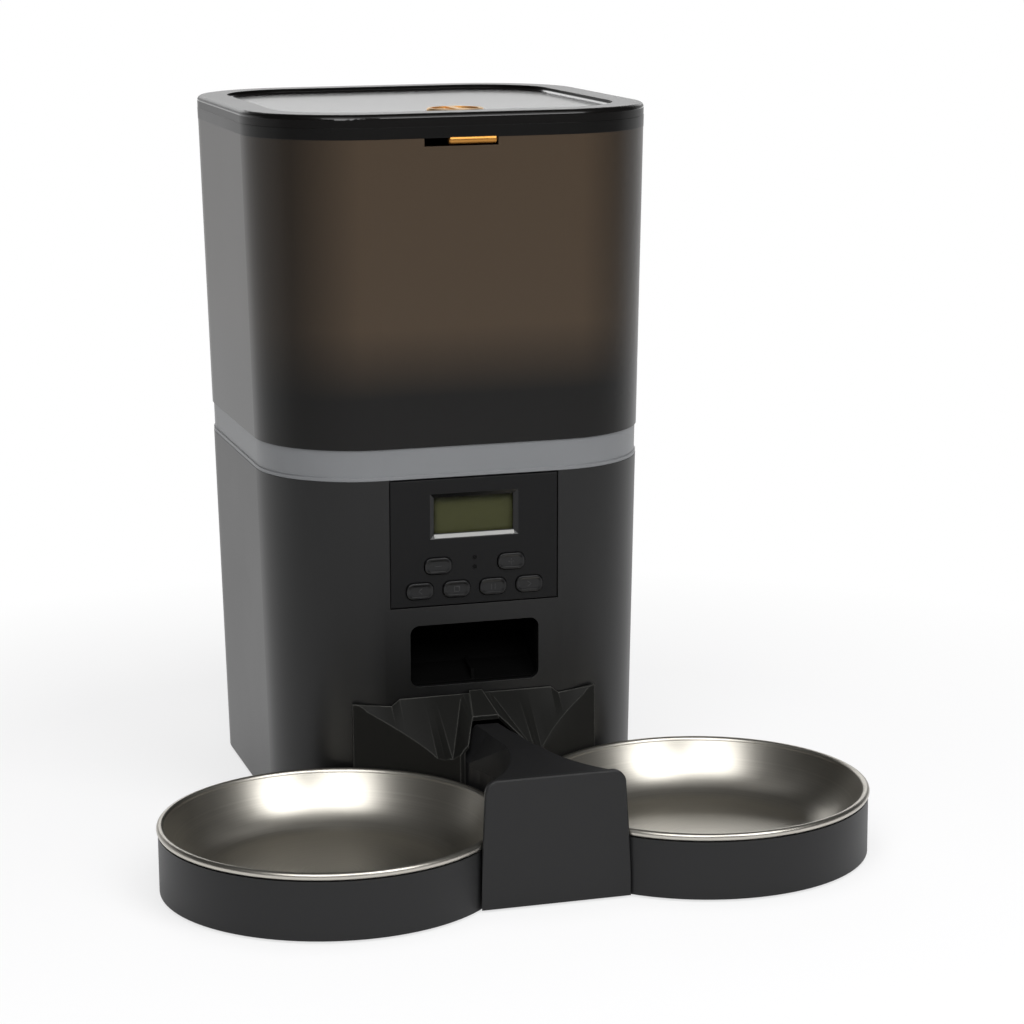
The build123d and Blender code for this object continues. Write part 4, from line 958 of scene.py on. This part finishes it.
@dataclass
class LidTrim:
    """Black band under the lid's edge and the small generic marks beside the knob."""

    lean: float = math.tan(math.radians(1.31))
    corner: float = 0.0425
    band_low: float = 0.2996
    band_high: float = 0.3045
    proud: float = 0.00012
    sunk: float = -0.0006
    mark_places: tuple[Point, ...] = ((-0.0150, -0.0050, 0.0011), (-0.0190, 0.0020, 0.0008),
                                      (-0.0165, 0.0085, 0.0008), (-0.0225, -0.0030, 0.0007))

    def outline(self, height: float, extra: float) -> list[Point]:
        """Draw the column's outline, a little larger all round.

        Args:
            height: the height it is drawn at.
            extra: how much larger it is.

        Returns:
            Points that go round once.
        """
        low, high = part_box("hopper_tank")
        grow = extra - self.lean * (high.z - height)
        middle = (low.y + high.y) / 2
        flat = rounded((high.x - low.x) / 2 + grow, (high.y - low.y) / 2 + grow,
                       self.corner + self.lean * height + extra, 24)
        return [(x, middle + y, height) for x, y in flat]

    def band(self, work: bmesh.types.BMesh) -> None:
        """Fill the band as a thin closed ring.

        Args:
            work: the mesh that is filled.
        """
        rings = [self.outline(self.band_low, self.sunk), self.outline(self.band_low, self.proud),
                 self.outline(self.band_high, self.proud), self.outline(self.band_high, self.sunk)]
        rings_to_skin(work, rings, True)

    def dots(self, work: bmesh.types.BMesh) -> None:
        """Fill the small round marks on the lid's plate.

        Args:
            work: the mesh that is filled.
        """
        low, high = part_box("lock_knob")
        centre = ((low.x + high.x) / 2, high.y - 0.0122)
        level = high.z - 0.0020
        for left, along, radius in self.mark_places:
            turns = [math.radians(degrees) for degrees in range(0, 360, 20)]
            ring = [(centre[0] + left + radius * math.cos(turn), centre[1] + along + radius * math.sin(turn))
                    for turn in turns]
            rings = [[(x, y, level - 0.0001) for x, y in ring], [(x, y, level + 0.00008) for x, y in ring]]
            rings_to_skin(work, rings)
            cap_ring(work, rings[1])

    def build(self) -> None:
        """Build the band and the marks."""
        piece("lid_band", self.band, BAND, "lid", 30.0)
        piece("lid_marks", self.dots, SHADE, "lid")
        log.info("lid trim")


@dataclass(frozen=True)
class Lamp:
    """One softbox: where it hangs, what it points at, its size, its power and whether gloss shows it."""

    name: str
    place: Point
    aim: Point
    wide: float
    tall: float
    power: float
    mirrored: bool = True


@dataclass
class Studio:
    """Floor, lamps, world and camera."""

    eye: Point = (-0.3320, -1.2160, 0.3977)
    turn: float = 16.34
    dip: float = 11.86
    roll: float = -0.40
    sensor: float = 36.0
    lens: float = 102.8953125
    side_glow: float = 0.045
    back_glow: float = 0.50
    floor_clear: float = 0.36
    floor_reach: float = 12.0
    lamps: tuple[Lamp, ...] = (
        Lamp("right_softbox", (0.62, -1.20, 1.35), (0.0, -0.08, 0.03), 0.9, 1.2, 16.0),
        Lamp("left_softbox", (-0.56, -1.15, 1.35), (0.0, -0.08, 0.03), 1.1, 1.2, 16.0),
        Lamp("top_softbox", (0.1, 0.1, 1.7), (0.0, -0.05, 0.1), 1.4, 1.4, 13.0, False),
        Lamp("back_card", (0.40, 1.50, 0.70), (0.1, 0.05, 0.3), 1.8, 0.42, 3.8),
    )

    def camera(self) -> None:
        """Place the camera."""
        yaw, pitch, roll = (math.radians(v) for v in (self.turn, self.dip, self.roll))
        ahead = Vector((math.sin(yaw) * math.cos(pitch), math.cos(yaw) * math.cos(pitch), -math.sin(pitch)))
        across = Vector((math.cos(yaw), -math.sin(yaw), 0.0))
        upward = across.cross(ahead)
        right = math.cos(roll) * across + math.sin(roll) * upward
        top = right.cross(ahead)
        data = bpy.data.cameras.new("camera")
        data.sensor_width = self.sensor
        data.lens = self.lens
        data.clip_start = 0.05
        data.clip_end = 50.0
        obj = bpy.data.objects.new("camera", data)
        bpy.context.scene.collection.objects.link(obj)
        turned = Matrix((right, top, -ahead)).transposed().to_4x4()
        obj.matrix_world = Matrix.Translation(Vector(self.eye)) @ turned
        bpy.context.scene.camera = obj

    def light(self) -> None:
        """Hang the softboxes."""
        for lamp in self.lamps:
            data = bpy.data.lights.new(lamp.name, "AREA")
            data.shape = "RECTANGLE"
            data.size = lamp.wide
            data.size_y = lamp.tall
            data.energy = lamp.power
            obj = bpy.data.objects.new(lamp.name, data)
            obj.visible_glossy = lamp.mirrored
            bpy.context.scene.collection.objects.link(obj)
            way = (Vector(lamp.aim) - Vector(lamp.place)).to_track_quat("-Z", "Y")
            obj.matrix_world = Matrix.Translation(Vector(lamp.place)) @ way.to_matrix().to_4x4()

    def world(self) -> None:
        """Plain world, white where it is seen directly or through glass, with a paler back for gloss."""
        world = bpy.data.worlds.new("studio")
        world.use_nodes = True
        bpy.context.scene.world = world
        graph = Graph(world.node_tree)
        path = graph.node("ShaderNodeLightPath")
        seen = Wire(graph, path.outputs["Is Camera Ray"]) + Wire(graph, path.outputs["Is Transmission Ray"])
        way = graph.node("ShaderNodeTexCoord").outputs["Generated"]
        behind = graph.out("ShaderNodeSeparateXYZ", None, {0: way}, 1)
        above = graph.out("ShaderNodeSeparateXYZ", None, {0: way}, 2)
        backdrop = behind.above(0.62, 0.5) * (1 - above.above(0.34, 0.26))
        level = self.side_glow + backdrop * self.back_glow
        level = seen + (1 - seen) * level
        back = graph.node("ShaderNodeBackground", None, {"Color": (1.0, 1.0, 1.0), "Strength": level})
        graph.node("ShaderNodeOutputWorld", None, {"Surface": back.outputs[0]})

    def floor(self) -> None:
        """Lay a plain pale floor that keeps the shadow and runs out into white."""
        mesh = bpy.data.meshes.new("floor")
        work = bmesh.new()
        reach = self.floor_reach
        corners = ((-reach, -reach), (reach, -reach), (reach, reach), (-reach, reach))
        work.faces.new([work.verts.new((x, y, 0.0)) for x, y in corners])
        work.to_mesh(mesh)
        work.free()
        obj = bpy.data.objects.new("floor", mesh)
        bpy.context.scene.collection.objects.link(obj)
        made = bpy.data.materials.new("floor_white")
        made.use_nodes = True
        graph = Graph(made.node_tree)
        path = graph.node("ShaderNodeLightPath")
        seen = Wire(graph, path.outputs["Is Camera Ray"]) + Wire(graph, path.outputs["Is Transmission Ray"])
        glossy = Wire(graph, path.outputs["Is Glossy Ray"])
        across, along = graph.axis(0), graph.axis(1)
        away = (across * across + along * along) ** 0.5
        bare = away.above(self.floor_clear, 0.22)
        behind = along.above(0.05, 0.3)
        share = seen * (0.70 + bare * 0.30) + glossy * (0.25 + behind * 0.60)
        matt = graph.node("ShaderNodeBsdfDiffuse", None, {"Color": (0.86, 0.86, 0.87)})
        glow = graph.node("ShaderNodeEmission", None, {"Color": (1.0, 1.0, 1.0), "Strength": 1.0})
        mix = graph.node("ShaderNodeMixShader", None, {0: share, 1: matt.outputs[0], 2: glow.outputs[0]})
        graph.node("ShaderNodeOutputMaterial", None, {"Surface": mix.outputs[0]})
        mesh.materials.append(made)

    def build(self) -> None:
        """Set up the whole studio."""
        self.camera()
        self.light()
        self.world()
        self.floor()
        bpy.context.scene.view_settings.view_transform = "Standard"
        log.info("studio")


@dataclass
class FrameFinishes:
    """Finishes of the pieces that come from the frame as they are."""

    nodes: dict[str, bpy.types.Object]
    finishes: dict[str, Finish] = field(default_factory=lambda: {
        "base_housing": SHELL, "base_plate": SHELL, "battery_door": SHELL, "battery_contacts": NICKEL,
        "base_screws": NICKEL, "column_feet": RUBBER, "waist_ring": RING, "control_panel": PANEL,
        "keypad_mat": SILICONE, "window_lens": WINDOW, "display_module": DISPLAY, "indicator_lights": LIGHT,
        "circuit_board": BOARD, "board_screws": NICKEL, "dc_inlet": INNER, "metering_cup": INNER,
        "cup_screws": NICKEL, "portion_rotor": ROTOR, "discharge_shield": INNER, "wiper_blades": SILICONE,
        "output_gear": NYLON, "idler_gear": NYLON, "motor_pinion": GOLD, "drive_shaft": NICKEL,
        "gearbox_housing": INNER, "gearbox_cover": INNER, "idler_pin": NICKEL, "feed_motor": CAN,
        "feed_chute": CHUTE, "hopper_tank": TANK, "hopper_funnel": INNER, "lid_cover": LID,
        "lid_liner": INNER, "lid_seal": SILICONE, "lock_knob": KNOB, "lock_bolt": GOLD,
        "desiccant_cover": INNER, "desiccant_pack": PACK, "bowl_tray": HOLDER, "tray_pads": RUBBER,
        "front_plate": PLATE, "bridge_cover": HOLDER, "food_splitter": SPLIT,
    })
    angles: dict[str, float] = field(default_factory=lambda: {"food_splitter": 14.0, "bridge_cover": 34.0})

    def build(self) -> None:
        """Dress every node."""
        for name, obj in self.nodes.items():
            if name.startswith("button_"):
                dress(obj, KEY)
            elif name in self.finishes:
                dress(obj, self.finishes[name], self.angles.get(name, 28.0))
            else:
                dress(obj, SHELL)
        log.info("finishes on %d nodes", len(self.nodes))


def main() -> None:
    """Build the dressed feeder round its frame."""
    logging.basicConfig(level=logging.INFO, format="%(name)s: %(message)s")
    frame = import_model()
    Studio().build()
    FrameFinishes(frame["nodes"]).build()
    Bowl("bowl_left", "left_bowl").build()
    Bowl("bowl_right", "right_bowl").build()
    Keypad().build()
    Bezel().build()
    LidTrim().build()


if __name__ == "__main__":
    main()
